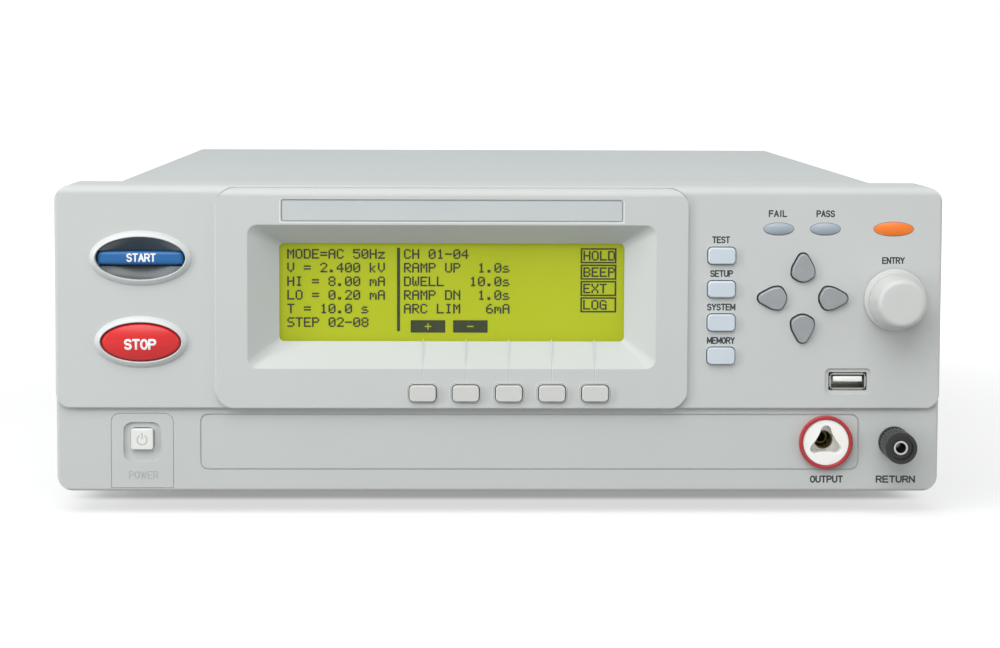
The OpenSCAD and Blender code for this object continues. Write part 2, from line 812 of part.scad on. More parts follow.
module entry_knob() color("#e4e6e4") {
    grip_r = knob_d / 2 - grip_inset;
    nose_r = grip_r - grip_taper;
    nose_l = knob_h - skirt_gap;
    translate([knob_x, 0, knob_z]) difference() {
        union() {
            turned(fascia_y - skirt_gap) square([knob_d / 2, skirt_t]);
            turned(fascia_y - skirt_gap) {
                polygon([
                    [0, 0], [grip_r, 0], [grip_r, skirt_t + grip_l], [nose_r, nose_l - shoulder_r],
                    [0, nose_l - shoulder_r]
                ]);
                square([nose_r - shoulder_r, nose_l]);
                translate([nose_r - shoulder_r, nose_l - shoulder_r]) intersection() {
                    circle(shoulder_r);
                    square(shoulder_r);
                }
            }
        }
        for (i = [0 : grip_notches - 1])
            rotate([0, i * 360 / grip_notches, 0]) translate([grip_r, 0, 0])
                rod(
                    fascia_y - skirt_gap - skirt_t - grip_l, fascia_y - skirt_gap - skirt_t - seat, notch_d,
                    $fn = 16
                );
        rod(fascia_y - skirt_gap - shaft_grip, fascia_back, shaft_d + 2 * turn_gap);
        // Hollow at the back that covers the encoder's bushing and nut
        rod(fascia_y - nut_t - skirt_gap - fit, fascia_back, nut_d + 2 * nut_room);
    }
}

nut_d = 12;
nut_t = 1.8;
module encoder_shaft() color("silver") {
    translate([knob_x, 0, knob_z])
        rod(fascia_y - shaft_grip - skirt_gap + seat, board_y - encoder_h / 2, shaft_d);
}

module encoder_housing() color("dimgray") {
    translate([knob_x, 0, knob_z]) difference() {
        union() {
            plate(board_y - encoder_h, encoder_h) square(encoder_w, center = true);
            rod(fascia_y - nut_t, board_y - encoder_h + over, thread_d);
            rod(fascia_y - nut_t + fit / 2, fascia_y, nut_d);
        }
        rod(fascia_y - nut_t - over, board_y - encoder_h / 2 + fit, shaft_d + 2 * turn_gap);
    }
}

// USB socket: a metal shell with flared lips and a tongue above its middle. It stands on the keyboard.
usb_y = fascia_y + usb_recess_d;
usb_l = board_y - usb_y;
usb_wall = 0.3;
usb_tongue = [11, 1.84, 9];
usb_tongue_lift = 0.85;
usb_back = 2;
lip = 0.55;
module usb_socket() color("#c9c9c9") {
    inner = usb_shell - [2, 2] * usb_wall;
    translate([usb_x, 0, usb_z]) {
        difference() {
            union() {
                plate(usb_y, usb_l) square(usb_shell, center = true);
                for (z = [-1, 1]) translate([0, 0, z * (usb_shell.y + lip - usb_wall) / 2])
                    plate(usb_y, usb_wall) square([inner.x - 2 * lip, lip], center = true);
                for (x = [-1, 1]) translate([x * (usb_shell.x + lip - usb_wall) / 2, 0, 0])
                    plate(usb_y, usb_wall) square([lip, inner.y - 2 * lip], center = true);
            }
            plate(usb_y - over, usb_l - usb_back + over) square(inner, center = true);
        }
        translate([0, 0, usb_tongue_lift])
            plate(usb_y + usb_l - usb_back - usb_tongue.z, usb_tongue.z + usb_back / 2)
                square([usb_tongue.x, usb_tongue.y], center = true);
    }
}

// Keyboard with its switches, lamps and a cut-out for the display
module keypad_board() color("#1f6b3a") {
    w = bezel_w - 2 * board_margin;
    z0 = fascia_z + board_t;
    z1 = bezel_h - bezel_wall - board_t;
    difference() {
        translate([0, 0, (z0 + z1) / 2]) plate(board_y, board_t) square([w, z1 - z0], center = true);
        translate([display_x, 0, glass_z]) plate(board_y - over, board_t + 2 * over)
            square(lcd_frame + [2, 2] * fit, center = true);
    }
    for (i = [0 : softkey_count - 1]) translate([softkey_x(i), 0, softkey_z]) tact_switch(switch_h);
    for (i = [0 : fkey_count - 1]) translate([fkey_x, 0, fkey_z(i)]) tact_switch(switch_h);
    for (i = [0 : len(arrow_angles) - 1]) translate(arrow_place(i)) tact_switch(switch_h);
    for (z = [start_z, stop_z]) translate([left_x, 0, z]) tact_switch(big_switch_h);
    for (lamp = lamps)
        translate([lamp[0], 0, lamp_z]) rod(fascia_back + flange_t + fit, board_y + seat, led_d);
}

module tact_switch(h) {
    plate(board_y - h, h) square(switch_w, center = true);
    rod(board_y - h - plunger_h, board_y, plunger_d);
}

// Power plate, button and mains switch
dish_size = [14.5, 15.4];
dish_r = 3.5;
dish_sink = 1;
dish_z = 19.1;
power_r = 1;
power_proud = 0.9;
power_rod = [5, 5];
power_switch_size = [22, 26, 16];
power_switch_y = 12;
bracket_t = 2;

module power_plate() color("#bfc3c2") {
    difference() {
        plate(0, power_plate_t) intersection() {
            power_plate_shape(0);
            translate([left_x - power_plate_w, edge_round + seat]) square([2 * power_plate_w, fascia_z]);
        }
        translate([left_x, 0, dish_z]) plate(-over, over + dish_sink)
            round_rect(dish_size.x, dish_size.y, dish_r);
        translate([left_x, 0, power_z]) plate(-over, power_plate_t + 2 * over) hole_shape(power_size);
    }
}

module power_button() color("#dfe4e6") {
    flange_y = power_plate_t + fit;
    translate([left_x, 0, power_z]) {
        plate(-power_proud, flange_y + power_proud + flange_t)
            round_rect(power_size.x, power_size.y, power_r);
        plate(flange_y, flange_t)
            round_rect(power_size.x + 2 * flange_rim, power_size.y + 2 * flange_rim, power_r);
        plate(flange_y, power_switch_y + power_switch_size.y / 2 - power_travel - flange_y)
            square(power_rod, center = true);
    }
}

// The mains switch stands on a bracket behind the plate; its plunger well takes the button's rod
module power_switch() color("#2b2b2d") {
    translate([left_x, 0, power_z]) difference() {
        union() {
            plate(power_switch_y, power_switch_size.y)
                square([power_switch_size.x, power_switch_size.z], center = true);
            for (x = [-1, 1]) translate([x * (power_switch_size.x + bracket_t) / 2, 0, -power_z / 2])
                plate(case_y0, power_switch_size.y / 2)
                    square([bracket_t, power_z - 2 * floor_z], center = true);
        }
        plate(power_switch_y - over, over + power_switch_size.y / 2 + fit)
            square(power_rod + [2, 2] * fit, center = true);
    }
}

// High-voltage output socket

ring_proud = 2.2;
insulator_sink = 0.5;
lobe_d = 8;
well_end = 24;
insulator_end = 28;
jack_d = 5;
jack_front = 14;
jack_end = 34;
nut_rim = 2.6;
nut_l = 5;

module output_ring() color("#c4202c") {
    translate([socket_x, 0, terminal_z]) plate(-ring_proud, ring_proud) difference() {
        circle(d = ring_d);
        circle(d = insulator_d + 2 * seat);
    }
}

module output_insulator() color("#f2f2ee") {
    front = insulator_sink - ring_proud;
    translate([socket_x, 0, terminal_z]) difference() {
        union() {
            rod(front, insulator_end, insulator_d);
            rod(bezel_wall + seat, bezel_wall + seat + nut_l, insulator_d + 2 * nut_rim);
        }
        plate(front - over, over + lobe_d) lobe_shape();
        rod(front + lobe_d - seat, well_end, well_d);
        rod(well_end - over, insulator_end + over, jack_d + 2 * seat);
    }
}

module output_contact() color("#d8c27a") {
    translate([socket_x, 0, terminal_z]) difference() {
        rod(jack_front, jack_end, jack_d);
        rod(jack_front - over, insulator_end, plug_d);
    }
}

// Return terminal: collar, threaded post, captive washer and cap

bushing_d = 8;
collar_l = 2;
post_d_share = 1.36;
thread_left = 7.8;
post_end = 18;
post_bore_l = 15;
washer_t = 1.2;
washer_d = 10.6;
cap_notches = 28;
cap_notch_d = 0.6;
cap_rim = 1.5;
cap_cup = 1.6;
post_w = plug_d * post_d_share;
cap_y = -collar_l - fit - washer_t - fit;
// The post keeps some thread in the cap when the cap is unscrewed
post_front = cap_travel + thread_left - cap_y;

module return_base() color("#26282a") {
    translate([return_x, 0, terminal_z]) difference() {
        union() {
            rod(-collar_l, 0, cap_d);
            rod(-collar_l, bezel_wall + seat, bushing_d);
        }
        rod(-collar_l - over, bezel_wall + over, post_w + 2 * seat);
    }
}

module return_post() color("silver") {
    translate([return_x, 0, terminal_z]) difference() {
        union() {
            rod(-post_front, post_end, post_w);
            rod(bezel_wall + fit, bezel_wall + fit + nut_l / 2, cap_d);
        }
        rod(-post_front - over, post_bore_l - post_front, plug_d);
    }
}

module clamp_washer() color("#b9b9b9") {
    translate([return_x, -collar_l - fit - washer_t, terminal_z]) plate(0, washer_t) difference() {
        circle(d = washer_d);
        circle(d = post_w + 2 * fit);
    }
}

module return_cap() color("#2a2c2e") {
    translate([return_x, cap_y, terminal_z]) difference() {
        rod(-cap_l, 0, cap_d);
        rod(-cap_l - over, over, post_w + 2 * fit);
        rod(-cap_l - over, cap_cup - cap_l, cap_d - 2 * cap_rim);
        for (i = [0 : cap_notches - 1])
            rotate([0, i * 360 / cap_notches, 0]) translate([cap_d / 2, 0, 0])
                rod(cap_cup - cap_l, over, cap_notch_d, $fn = 16);
    }
}

// Case

side_flange = 12;
front_inset = 0.6;
chassis_side = 19;
chassis_rim = 10;
chassis_bar = 6;
chassis_window = [half - chassis_side - chassis_bar / 2, bezel_h - 2 * chassis_rim];
standoff_d = 7;
// The right side of the case is a bay for the high-voltage transformer and the amplifier
bay_w = 103.6;
bay_gap = 12;
bay_x = case_w / 2 - bay_w;
main_board_edge = 11.6;
main_board_y = 60;
main_board_z = 14;
main_board_at = [main_board_edge - case_w / 2, main_board_y, main_board_z];
main_board_size = [bay_x - bay_gap - main_board_at.x, 190, board_t];
main_board_inset = 8;
foot_inset = 30;
front_foot = 40;
foot_bolt = 5;

module base_tray() color("#b4b8ba") {
    difference() {
        union() {
            translate([0, 0, case_z0]) linear_extrude(sheet)
                translate([-tray_w / 2, bezel_d]) square([tray_w, rear_y1 - bezel_d]);
            for (x = [-1, 1])
                block([x * tray_w / 2 - (x + 1) * sheet / 2, bezel_d, case_z0],
                    [sheet, rear_y0 - fit - bezel_d, side_flange]);
            // Chassis front, which closes the back of the bezel, with a window on each side
            translate([0, 0, bezel_h / 2]) plate(bezel_d, sheet) difference() {
                round_rect(bezel_w - 2 * front_inset, bezel_h - 2 * front_inset, bezel_r - front_inset);
                for (x = [-1, 1]) translate([x * (chassis_window.x + chassis_bar) / 2, 0])
                    square(chassis_window, center = true);
            }
        }
        feet_places() translate([0, 0, case_z0 - over]) cylinder(d = foot_bolt, h = sheet + 2 * over);
    }
    for (x = [0, 1], y = [0, 1])
        translate([
            main_board_at.x + main_board_inset + x * (main_board_size.x - 2 * main_board_inset),
            main_board_at.y + main_board_inset + y * (main_board_size.y - 2 * main_board_inset),
            floor_z - sheet / 2
        ]) cylinder(d = standoff_d, h = main_board_at.z - floor_z + sheet / 2);
}

module feet_places() {
    for (x = [-1, 1], y = [bezel_d + front_foot, case_y1 - front_foot])
        translate([x * (case_w / 2 - foot_inset), y, 0]) children();
}

vent_w = 3;
vent_h = 34;
vent_pitch = 9;
vent_z = 62;
vent_y = bezel_d + case_l / 2;

module top_cover() color("#c6cccc") {
    outer_h = case_top - case_z0;
    difference() {
        translate([0, 0, case_z0]) plate(case_y0, case_y1 - case_y0) difference() {
            cover_shape(case_w, outer_h, case_r);
            translate([0, -over]) cover_shape(inner_w, outer_h - sheet + over, case_r - sheet);
        }
        for (i = [0 : vent_count - 1])
            translate([0, vent_y + (i - (vent_count - 1) / 2) * vent_pitch, vent_z]) vent_slot();
        screw_places() cylinder(d = screw_d, h = 2 * (sheet + over), center = true);
    }
}

// Outline of the cover from the front, standing on its lower edge, with rounded top corners
module cover_shape(w, h, r) {
    translate([-w / 2, 0]) square([w, h - r]);
    translate([-w / 2 + r, 0]) square([w - 2 * r, h]);
    for (x = [-1, 1]) translate([x * (w / 2 - r), h - r]) circle(r);
}

module vent_slot() {
    across(case_w + 2 * over) {
        square([vent_w, vent_h - vent_w], center = true);
        for (z = [-1, 1]) translate([0, z * (vent_h - vent_w) / 2]) circle(d = vent_w);
    }
}

// Screws along the lower edge of each side
screw_d = 4;
screw_head_d = 7;
screw_head_h = 2;
screw_z = 8;
screw_count = 4;
rear_screw_d = 3;
rear_screw_head = 5.6;
rear_screw_inset = 9;

module screw_places() {
    pitch = (case_l - 2 * foot_inset) / (screw_count - 1);
    for (x = [-1, 1], i = [0 : screw_count - 1])
        translate([x * case_w / 2, case_y0 + foot_inset + i * pitch, screw_z])
            rotate([0, x * 90, 0]) children();
}

module rear_screw_places() {
    for (x = [-1, 0, 1], z = [floor_z + rear_screw_inset, case_top - sheet - rear_screw_inset])
        translate([x * (tray_w / 2 - rear_screw_inset), rear_y1, z]) rotate([-90, 0, 0]) children();
}

module case_screws() color("silver") {
    screw_places() {
        translate([0, 0, seat]) cylinder(d = screw_head_d, h = screw_head_h);
        translate([0, 0, -sheet + seat]) cylinder(d = screw_d - 2 * seat, h = sheet);
    }
    rear_screw_places() {
        cylinder(d = rear_screw_head, h = screw_head_h);
        translate([0, 0, -rear_t]) cylinder(d = rear_screw_d, h = rear_t);
    }
}

fan_inset = 61.6;
fan_lift = 1;
fan_x = case_w / 2 - fan_inset;
fan_z = bezel_h / 2 + fan_lift;
fan_wall = 2;
fan_bore = fan_size - 2 * fan_wall;
fan_hole_pitch_share = 0.894;
fan_hole_pitch = fan_size * fan_hole_pitch_share;
fan_hole_d = 4.3;
inlet_inset = 41.6;
inlet_x = inlet_inset - case_w / 2;
inlet_z = 44;
inlet_cut = [28, 47];
ports_shift = 25;
ports_x = (inlet_x + fan_x) / 2 - ports_shift;
stud_step = 40;
stud_x = inlet_x + stud_step;
stud_z = 24;
stud_d = 5;

module rear_panel() color("#b9bdbf") {
    difference() {
        translate([0, 0, floor_z + seat]) plate(rear_y0, rear_t)
            cover_shape(tray_w, rear_h - seat, case_r - sheet);
        translate([fan_x, 0, fan_z]) {
            rod(rear_y0 - over, rear_y1 + over, fan_bore);
            fan_hole_places() rod(rear_y0 - over, rear_y1 + over, fan_hole_d);
        }
        translate([inlet_x, 0, inlet_z]) plate(rear_y0 - over, rear_t + 2 * over)
            square(inlet_cut + [2, 2] * seat, center = true);
        port_places() plate(rear_y0 - over, rear_t + 2 * over)
            square(port_shell + [2, 2] * seat, center = true);
        terminal_place() plate(rear_y0 - over, rear_t + 2 * over)
            square(strip_size + [2, 2] * seat, center = true);
        translate([stud_x, 0, stud_z]) rod(rear_y0 - over, rear_y1 + over, stud_d + 2 * seat);
        rear_screw_places() cylinder(d = rear_screw_d + 2 * seat, h = 2 * (rear_t + over), center = true);
    }
}

module fan_hole_places() {
    for (x = [-1, 1], z = [-1, 1]) translate([x, 0, z] * fan_hole_pitch / 2) children();
}

// Feet and the bail between the front pair

foot_top_share = 1.08;
bail_turn = 0.1;
bail_bite = 7;
bail_r = 6;
bail_z = -ground_gap / 2;
bail_x = case_w / 2 - foot_inset - foot_d / 2 - bail_d;
bail_y = bezel_d + front_foot;

module feet() color("#2f3133") {
    difference() {
        feet_places() translate([0, 0, -ground_gap]) {
            cylinder(d1 = foot_d / foot_top_share, d2 = foot_d, h = ground_gap + case_z0);
            cylinder(d = foot_bolt - 2 * seat, h = ground_gap + floor_z);
        }
        for (x = [-1, 1]) translate([x * (bail_x + bail_d + bail_bite / 2), bail_y, bail_z])
            rotate([0, 90, 0])
                cylinder(d = bail_d + 2 * bail_turn, h = bail_bite + 2 * bail_d, center = true);
    }
}

module tilt_bail() color("#9a9da0") {
    translate([0, bail_y, bail_z]) for (x = [-1, 1]) mirror([(1 - x) / 2, 0, 0]) {
        translate([bail_x, 0, 0]) rotate([0, 90, 0]) cylinder(d = bail_d, h = bail_d + bail_bite);
        translate([bail_x, 0, 0]) sphere(d = bail_d, $fn = 64);
        translate([bail_x, 0, 0]) rotate([-90, 0, 0]) cylinder(d = bail_d, h = bail_l - bail_r);
        translate([bail_x - bail_r, bail_l - bail_r, 0]) rotate_extrude(angle = 90)
            translate([bail_r, 0]) circle(d = bail_d);
        translate([-over, bail_l, 0]) rotate([0, 90, 0]) cylinder(d = bail_d, h = bail_x - bail_r + over);
    }
}

// Electronics on the tray

chip_count = 6;
board_edge = 12;
chip_pitch = (main_board_size.x - 2 * board_edge) / chip_count;
chip_size = [14, 14, 2];
cap_rows = 5;
cap_can_d = 10;
cap_can_h = 18;
cap_can_pitch = 15;
heat_bar = [60, 8, 22];
header_size = [30, 8, 9];

module main_board() color("#1f6b3a") {
    translate(main_board_at) {
        cube(main_board_size);
        for (i = [0 : chip_count - 1])
            translate([chip_pitch / 2 + i * chip_pitch, main_board_size.y / 2, board_t]) cube(chip_size);
        for (i = [0 : cap_rows - 1])
            translate([chip_pitch + i * cap_can_pitch, main_board_size.y - chip_pitch, board_t])
                cylinder(d = cap_can_d, h = cap_can_h);
        translate([chip_pitch, chip_pitch, board_t]) cube(header_size);
        translate([main_board_size.x - heat_bar.x - chip_pitch / 2, chip_pitch, board_t]) cube(heat_bar);
    }
}

hv_at = [bay_x, 62];
core_size = [86, 46, 74];
core_window = [20, 50];
coil_over = 14;
lug = [14, 2];

// Laminated core around a winding, on two feet
module hv_transformer() color("#7d6a4a") {
    translate([hv_at.x, hv_at.y, floor_z]) {
        difference() {
            translate([0, coil_over, 0]) cube(core_size);
            for (x = [1 / 4, 3 / 4])
                translate([core_size.x * x, coil_over + core_size.y / 2, core_size.z / 2])
                    cube([core_window.x, core_size.y + 2 * over, core_window.y], center = true);
        }
        translate([core_size.x / 4 - core_window.x / 2 + seat, 0, core_size.z / 2 - core_window.y / 2 + seat])
            difference() {
                cube([core_size.x / 2 + core_window.x - 2 * seat, core_size.y + 2 * coil_over,
                    core_window.y - 2 * seat]);
                translate([core_window.x - seat, coil_over, -over])
                    cube([core_size.x / 2 - core_window.x, core_size.y, core_window.y + 2 * over]);
            }
        for (x = [-lug.x, core_size.x]) translate([x, coil_over, 0]) cube([lug.x, core_size.y, lug.y]);
    }
}

toroid_inset = 83.6;
toroid_at = [toroid_inset - case_w / 2, 322];
toroid_d = 96;
toroid_hole = 34;
toroid_h = 46;
pad_t = 2;
dish_plate_d = 60;

module supply_transformer() color("#c9b26b") {
    translate([toroid_at.x, toroid_at.y, floor_z]) difference() {
        union() {
            cylinder(d = toroid_d, h = pad_t);
            translate([0, 0, pad_t]) cylinder(d = toroid_d, h = toroid_h);
            translate([0, 0, pad_t + toroid_h]) cylinder(d = dish_plate_d, h = pad_t);
        }
        translate([0, 0, pad_t + toroid_h / 2]) difference() {
            cylinder(d = toroid_hole, h = toroid_h - pad_t, center = true);
            cylinder(d = foot_bolt, h = toroid_h, center = true);
        }
    }
}

sink_at = [bay_x, 168];
sink_size = [86, 190, 62];
sink_base = 6;
fin_count = 12;
fin_t = 2;
device_size = [16, 5, 20];
device_count = 6;

// Finned block that carries the power transistors along one side
module amplifier() color("#5d6063") {
    translate([sink_at.x, sink_at.y, floor_z]) {
        cube([sink_size.x, sink_size.y, sink_base]);
        for (i = [0 : fin_count - 1])
            translate([i * (sink_size.x - fin_t) / (fin_count - 1), 0, sink_base - seat])
                cube([fin_t, sink_size.y, sink_size.z - sink_base]);
        for (i = [0 : device_count - 1])
            translate([-device_size.y, device_size.x / 2 + i * sink_size.y / device_count, sink_base])
                cube([device_size.y, device_size.x, device_size.z]);
    }
}

// Fan: frame with a motor plate on struts, rotor with pitched blades, and a wire guard outside

motor_d = 32;
motor_t = 5;
strut_w = 5;
hub_l = 16;
hub_gap = 0.5;
tip_gap = 1;
blade_t = 1.8;
blade_pitch = 38;
fan_y1 = rear_y0;
fan_y0 = fan_y1 - fan_d;
frame_r = 3;
guard_wire = 1.6;
guard_step = 7;
guard_rings = 5;

module fan_frame() color("#1f2022") {
    translate([fan_x, 0, fan_z]) {
        difference() {
            plate(fan_y0, fan_d) round_rect(fan_size, fan_size, frame_r);
            rod(fan_y0 - over, fan_y1 + over, fan_bore);
            fan_hole_places() rod(fan_y0 - over, fan_y1 + over, fan_hole_d);
        }
        rod(fan_y0, fan_y0 + motor_t, motor_d);
        for (a = [45, 135]) plate(fan_y0, motor_t / 2) rotate(a)
            square([fan_bore + over, strut_w], center = true);
    }
}

module fan_rotor() color("#2b2d30") {
    y0 = fan_y0 + motor_t + hub_gap;
    translate([fan_x, 0, fan_z]) {
        rod(y0, y0 + hub_l, motor_d);
        intersection() {
            rod(y0, y0 + hub_l, fan_bore - 2 * tip_gap);
            for (i = [0 : blade_count - 1])
                rotate([0, i * 360 / blade_count, 0]) translate([motor_d / 2 - over, y0 + hub_l / 2, 0])
                    rotate([blade_pitch, 0, 0])
                        translate([0, -hub_l, -blade_t / 2]) cube([fan_bore / 2, 2 * hub_l, blade_t]);
        }
    }
}

module fan_guard() color("silver") {
    y = rear_y1 + guard_wire / 2 + seat;
    translate([fan_x, 0, fan_z]) {
        for (i = [1 : guard_rings])
            translate([0, y + guard_wire - seat, 0]) rotate([90, 0, 0]) rotate_extrude()
                translate([i * guard_step, 0]) circle(d = guard_wire, $fn = 24);
        for (a = [0, 90]) rotate([0, a + 45, 0]) translate([0, y, 0]) rotate([0, 90, 0])
            cylinder(d = guard_wire, h = fan_hole_pitch * sqrt(2) - fan_hole_d, center = true, $fn = 24);
        fan_hole_places() plate(rear_y1, guard_wire + 2 * seat) difference() {
            circle(d = fan_hole_d + 2 * guard_wire);
            circle(d = fan_hole_d);
        }
    }
}

// Mains inlet with a fuse drawer above the pins

inlet_flange = [34, 56];
inlet_rim_t = 2.5;
inlet_l = 30;
pin_cavity = [24, 16];
pin_cavity_z = -10;
pin_size = [2, 4, 14];
pin_pitch = 7;
pin_rise = 2;
cavity_l = 16;
drawer_size = [22, 9];
drawer_z = 14;
drawer_l = 22;
drawer_lip = 1.2;

module inlet_place() {
    translate([inlet_x, rear_y1, inlet_z]) children();
}

module mains_inlet() color("#232426") {
    inlet_place() {
        difference() {
            union() {
                plate(0, inlet_rim_t) round_rect(inlet_flange.x, inlet_flange.y, frame_r);
                plate(-inlet_l, inlet_l + inlet_rim_t / 2) square(inlet_cut, center = true);
            }
            translate([0, 0, pin_cavity_z]) plate(inlet_rim_t - cavity_l, cavity_l + over)
                round_rect(pin_cavity.x, pin_cavity.y, frame_r);
            translate([0, 0, drawer_z]) plate(inlet_rim_t - drawer_l - 2 * seat, drawer_l + 2 * seat + over)
                square(drawer_size + [2, 2] * fit, center = true);
        }
        for (i = [-1 : 1]) translate([i * pin_pitch, 0, pin_cavity_z + (i == 0 ? pin_rise : -pin_rise)])
            plate(inlet_rim_t - cavity_l - seat, pin_size.z) square([pin_size.x, pin_size.y], center = true);
    }
}

module fuse_drawer() color("#3a3b3d") {
    inlet_place() translate([0, 0, drawer_z]) {
        plate(inlet_rim_t - drawer_l, drawer_l) square(drawer_size, center = true);
        plate(inlet_rim_t + fit, drawer_lip) square(drawer_size + [2, 2] * drawer_lip, center = true);
        plate(0, inlet_rim_t + fit + drawer_lip) square(drawer_size - [2, 2] * drawer_lip, center = true);
    }
}

// Rear connectors: two shielded ports over a screw terminal strip

port_shell = [17, 9];
port_flange = [31, 12.6];
port_pitch = 38;
port_z = 80;
port_proud = 5.5;
port_back = 12;
port_wall = 0.8;
strip_size = [48, 10];
terminal_strip_z = 50;
terminal_count = 8;
terminal_hole_d = 3.4;

module port_places() {
    for (x = [-1, 1]) translate([ports_x + x * port_pitch / 2, 0, port_z]) children();
}

module terminal_place() {
    translate([ports_x, 0, terminal_strip_z]) children();
}

module interface_ports() color("#a8abad") {
    port_places() {
        plate(rear_y1, board_t) square(port_flange, center = true);
        plate(rear_y0 - port_back, port_back + rear_t + board_t / 2) square(port_shell, center = true);
        plate(rear_y1, port_proud) difference() {
            square(port_shell, center = true);
            square(port_shell - [2, 2] * port_wall, center = true);
        }
    }
    terminal_place() difference() {
        plate(rear_y0 - port_back, port_back + rear_t + port_proud) square(strip_size, center = true);
        for (i = [0 : terminal_count - 1])
            translate([(i - (terminal_count - 1) / 2) * strip_size.x / terminal_count, 0, 0])
                rod(rear_y1, rear_y1 + port_proud + over, terminal_hole_d);
    }
}

module ground_stud() color("#c8a24a") {
    translate([stud_x, 0, stud_z]) {
        rod(rear_y0 - stud_d, rear_y1 + stud_l, stud_d);
        rod(rear_y1, rear_y1 + stud_d / 2, 2 * stud_d, $fn = 6);
        rod(rear_y0 - stud_d / 2, rear_y0, 2 * stud_d, $fn = 6);
    }
}

// Leads inside the case, along round-number routes
hv_lead_d = 5;
lead_d = 2.5;
hv_route = [
    [126.3, 34.5, 19.2], [126.3, 42, 20], [124, 50, 26], [118, 55, 34], [110, 59, 38]
];
return_route = [
    [152.9, 18.5, 19.2], [150, 24, 16], [140, 28, 14], [130, 34, 12], [80, 46, 9], [24, 52, 12],
    [14, 57, 19], [0, 64, 19]
];
keyboard_route = [
    [-60, 15, 40], [-60, 24, 40], [-62, 44, 28], [-80, 64, 26], [-100, 90, 26.5]
];
mains_route = [
    [-137, 38.5, 20], [-143, 46, 21], [-147, 56, 22], [-147, 250, 22], [-146, 330, 30], [-130, 366, 38],
    [-112, 376.5, 44]
];

module internal_leads() color("#b02a2a") {
    tube(hv_route, hv_lead_d);
    tube(return_route, lead_d);
    tube(keyboard_route, lead_d);
    tube(mains_route, lead_d);
}

module place() {
    translate([0, front_y, ground_gap]) children();
}

place() front_bezel();
place() upper_fascia();
place() display_surround();
place() label_plate();
place() lcd_window();
place() lcd_module();
place() start_rim();
place() start_dish();
place() start_button();
place() stop_rim();
place() stop_button();
place() fail_lamp();
place() pass_lamp();
place() output_lamp();
place() softkey_1();
place() softkey_2();
place() softkey_3();
place() softkey_4();
place() softkey_5();
place() test_key();
place() setup_key();
place() system_key();
place() memory_key();
place() up_key();
place() down_key();
place() left_key();
place() right_key();
place() entry_knob();
place() encoder_shaft();
place() encoder_housing();
place() usb_socket();
place() keypad_board();
place() power_plate();
place() power_button();
place() power_switch();
place() output_ring();
place() output_insulator();
place() output_contact();
place() return_base();
place() return_post();
place() clamp_washer();
place() return_cap();
place() base_tray();
place() top_cover();
place() rear_panel();
place() feet();
place() tilt_bail();
place() main_board();
place() hv_transformer();
place() supply_transformer();
place() amplifier();
place() fan_frame();
place() fan_rotor();
place() fan_guard();
place() mains_inlet();
place() fuse_drawer();
place() interface_ports();
place() ground_stud();
place() internal_leads();
place() case_screws();
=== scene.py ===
import json
import math

import bmesh
import bpy
from mathutils import Matrix, Vector


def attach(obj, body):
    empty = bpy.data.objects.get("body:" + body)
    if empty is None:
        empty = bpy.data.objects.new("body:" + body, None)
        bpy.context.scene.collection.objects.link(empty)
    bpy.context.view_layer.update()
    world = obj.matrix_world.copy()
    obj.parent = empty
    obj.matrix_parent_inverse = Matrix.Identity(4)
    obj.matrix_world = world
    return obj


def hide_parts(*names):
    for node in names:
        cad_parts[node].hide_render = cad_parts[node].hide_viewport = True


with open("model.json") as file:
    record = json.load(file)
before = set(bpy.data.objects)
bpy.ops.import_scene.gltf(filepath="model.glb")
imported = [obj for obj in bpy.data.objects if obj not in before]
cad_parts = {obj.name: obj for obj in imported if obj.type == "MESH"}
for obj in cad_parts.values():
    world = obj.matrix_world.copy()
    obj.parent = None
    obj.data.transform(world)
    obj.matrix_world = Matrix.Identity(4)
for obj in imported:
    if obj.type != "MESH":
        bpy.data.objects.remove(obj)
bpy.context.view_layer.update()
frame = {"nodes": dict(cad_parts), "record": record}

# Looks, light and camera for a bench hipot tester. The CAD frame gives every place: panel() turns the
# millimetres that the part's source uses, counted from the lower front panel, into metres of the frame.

MM = 0.001
PANEL_Y = -200.5
PANEL_Z = 9.0


def panel(x, y, z):
    return Vector((x, y + PANEL_Y, z + PANEL_Z)) * MM


# Sizes shared with the part, in mm

FASCIA_Y = -1.8
SURROUND_Y = -3.3
LEFT_X = -137.2
START_Z = 90.0
STOP_Z = 58.0
START_RIM = (39.2, 21.1)
STOP_RIM = (35.8, 19.9)
RIM_BAND = 2.4
DISPLAY_X = -18.2
GLASS_Z = 76.5
GLASS = (130.8, 36.2)
WINDOW_Z = 75.5
WINDOW = (156.4, 55.2)
LENS_Y = 6.5
LCD_Y = 8.3
PITCH = 0.53
SOFTKEY_X = [-29.4, -12.85, 3.7, 20.25, 36.8]
SOFTKEY_Z = 38.45
FKEY_X = 85.2
ARROWS = {"up": (0, 1), "down": (0, -1), "left": (-1, 0), "right": (1, 0)}
ARROW_CROSS = (116.5, 75.2)
ARROW_REACH = 11.8
KNOB = (152.0, 74.7)
LAMP_Z = 101.9
USB = (134.4, 43.0)
SOCKET = (126.3, 19.2)
RETURN = (152.9, 19.2)
POWER_Z = 20.2
POWER_PROUD = 0.9
LABEL = (-18.2, 108.65)
LABEL_HALF = (65.15, 4.05)


# Materials

def linear(code, alpha=1.0):
    """An sRGB hex colour as linear light."""
    part = [int(code[i:i + 2], 16) / 255 for i in (1, 3, 5)]
    return tuple(c / 12.92 if c <= 0.04045 else ((c + 0.055) / 1.055) ** 2.4 for c in part) + (alpha,)


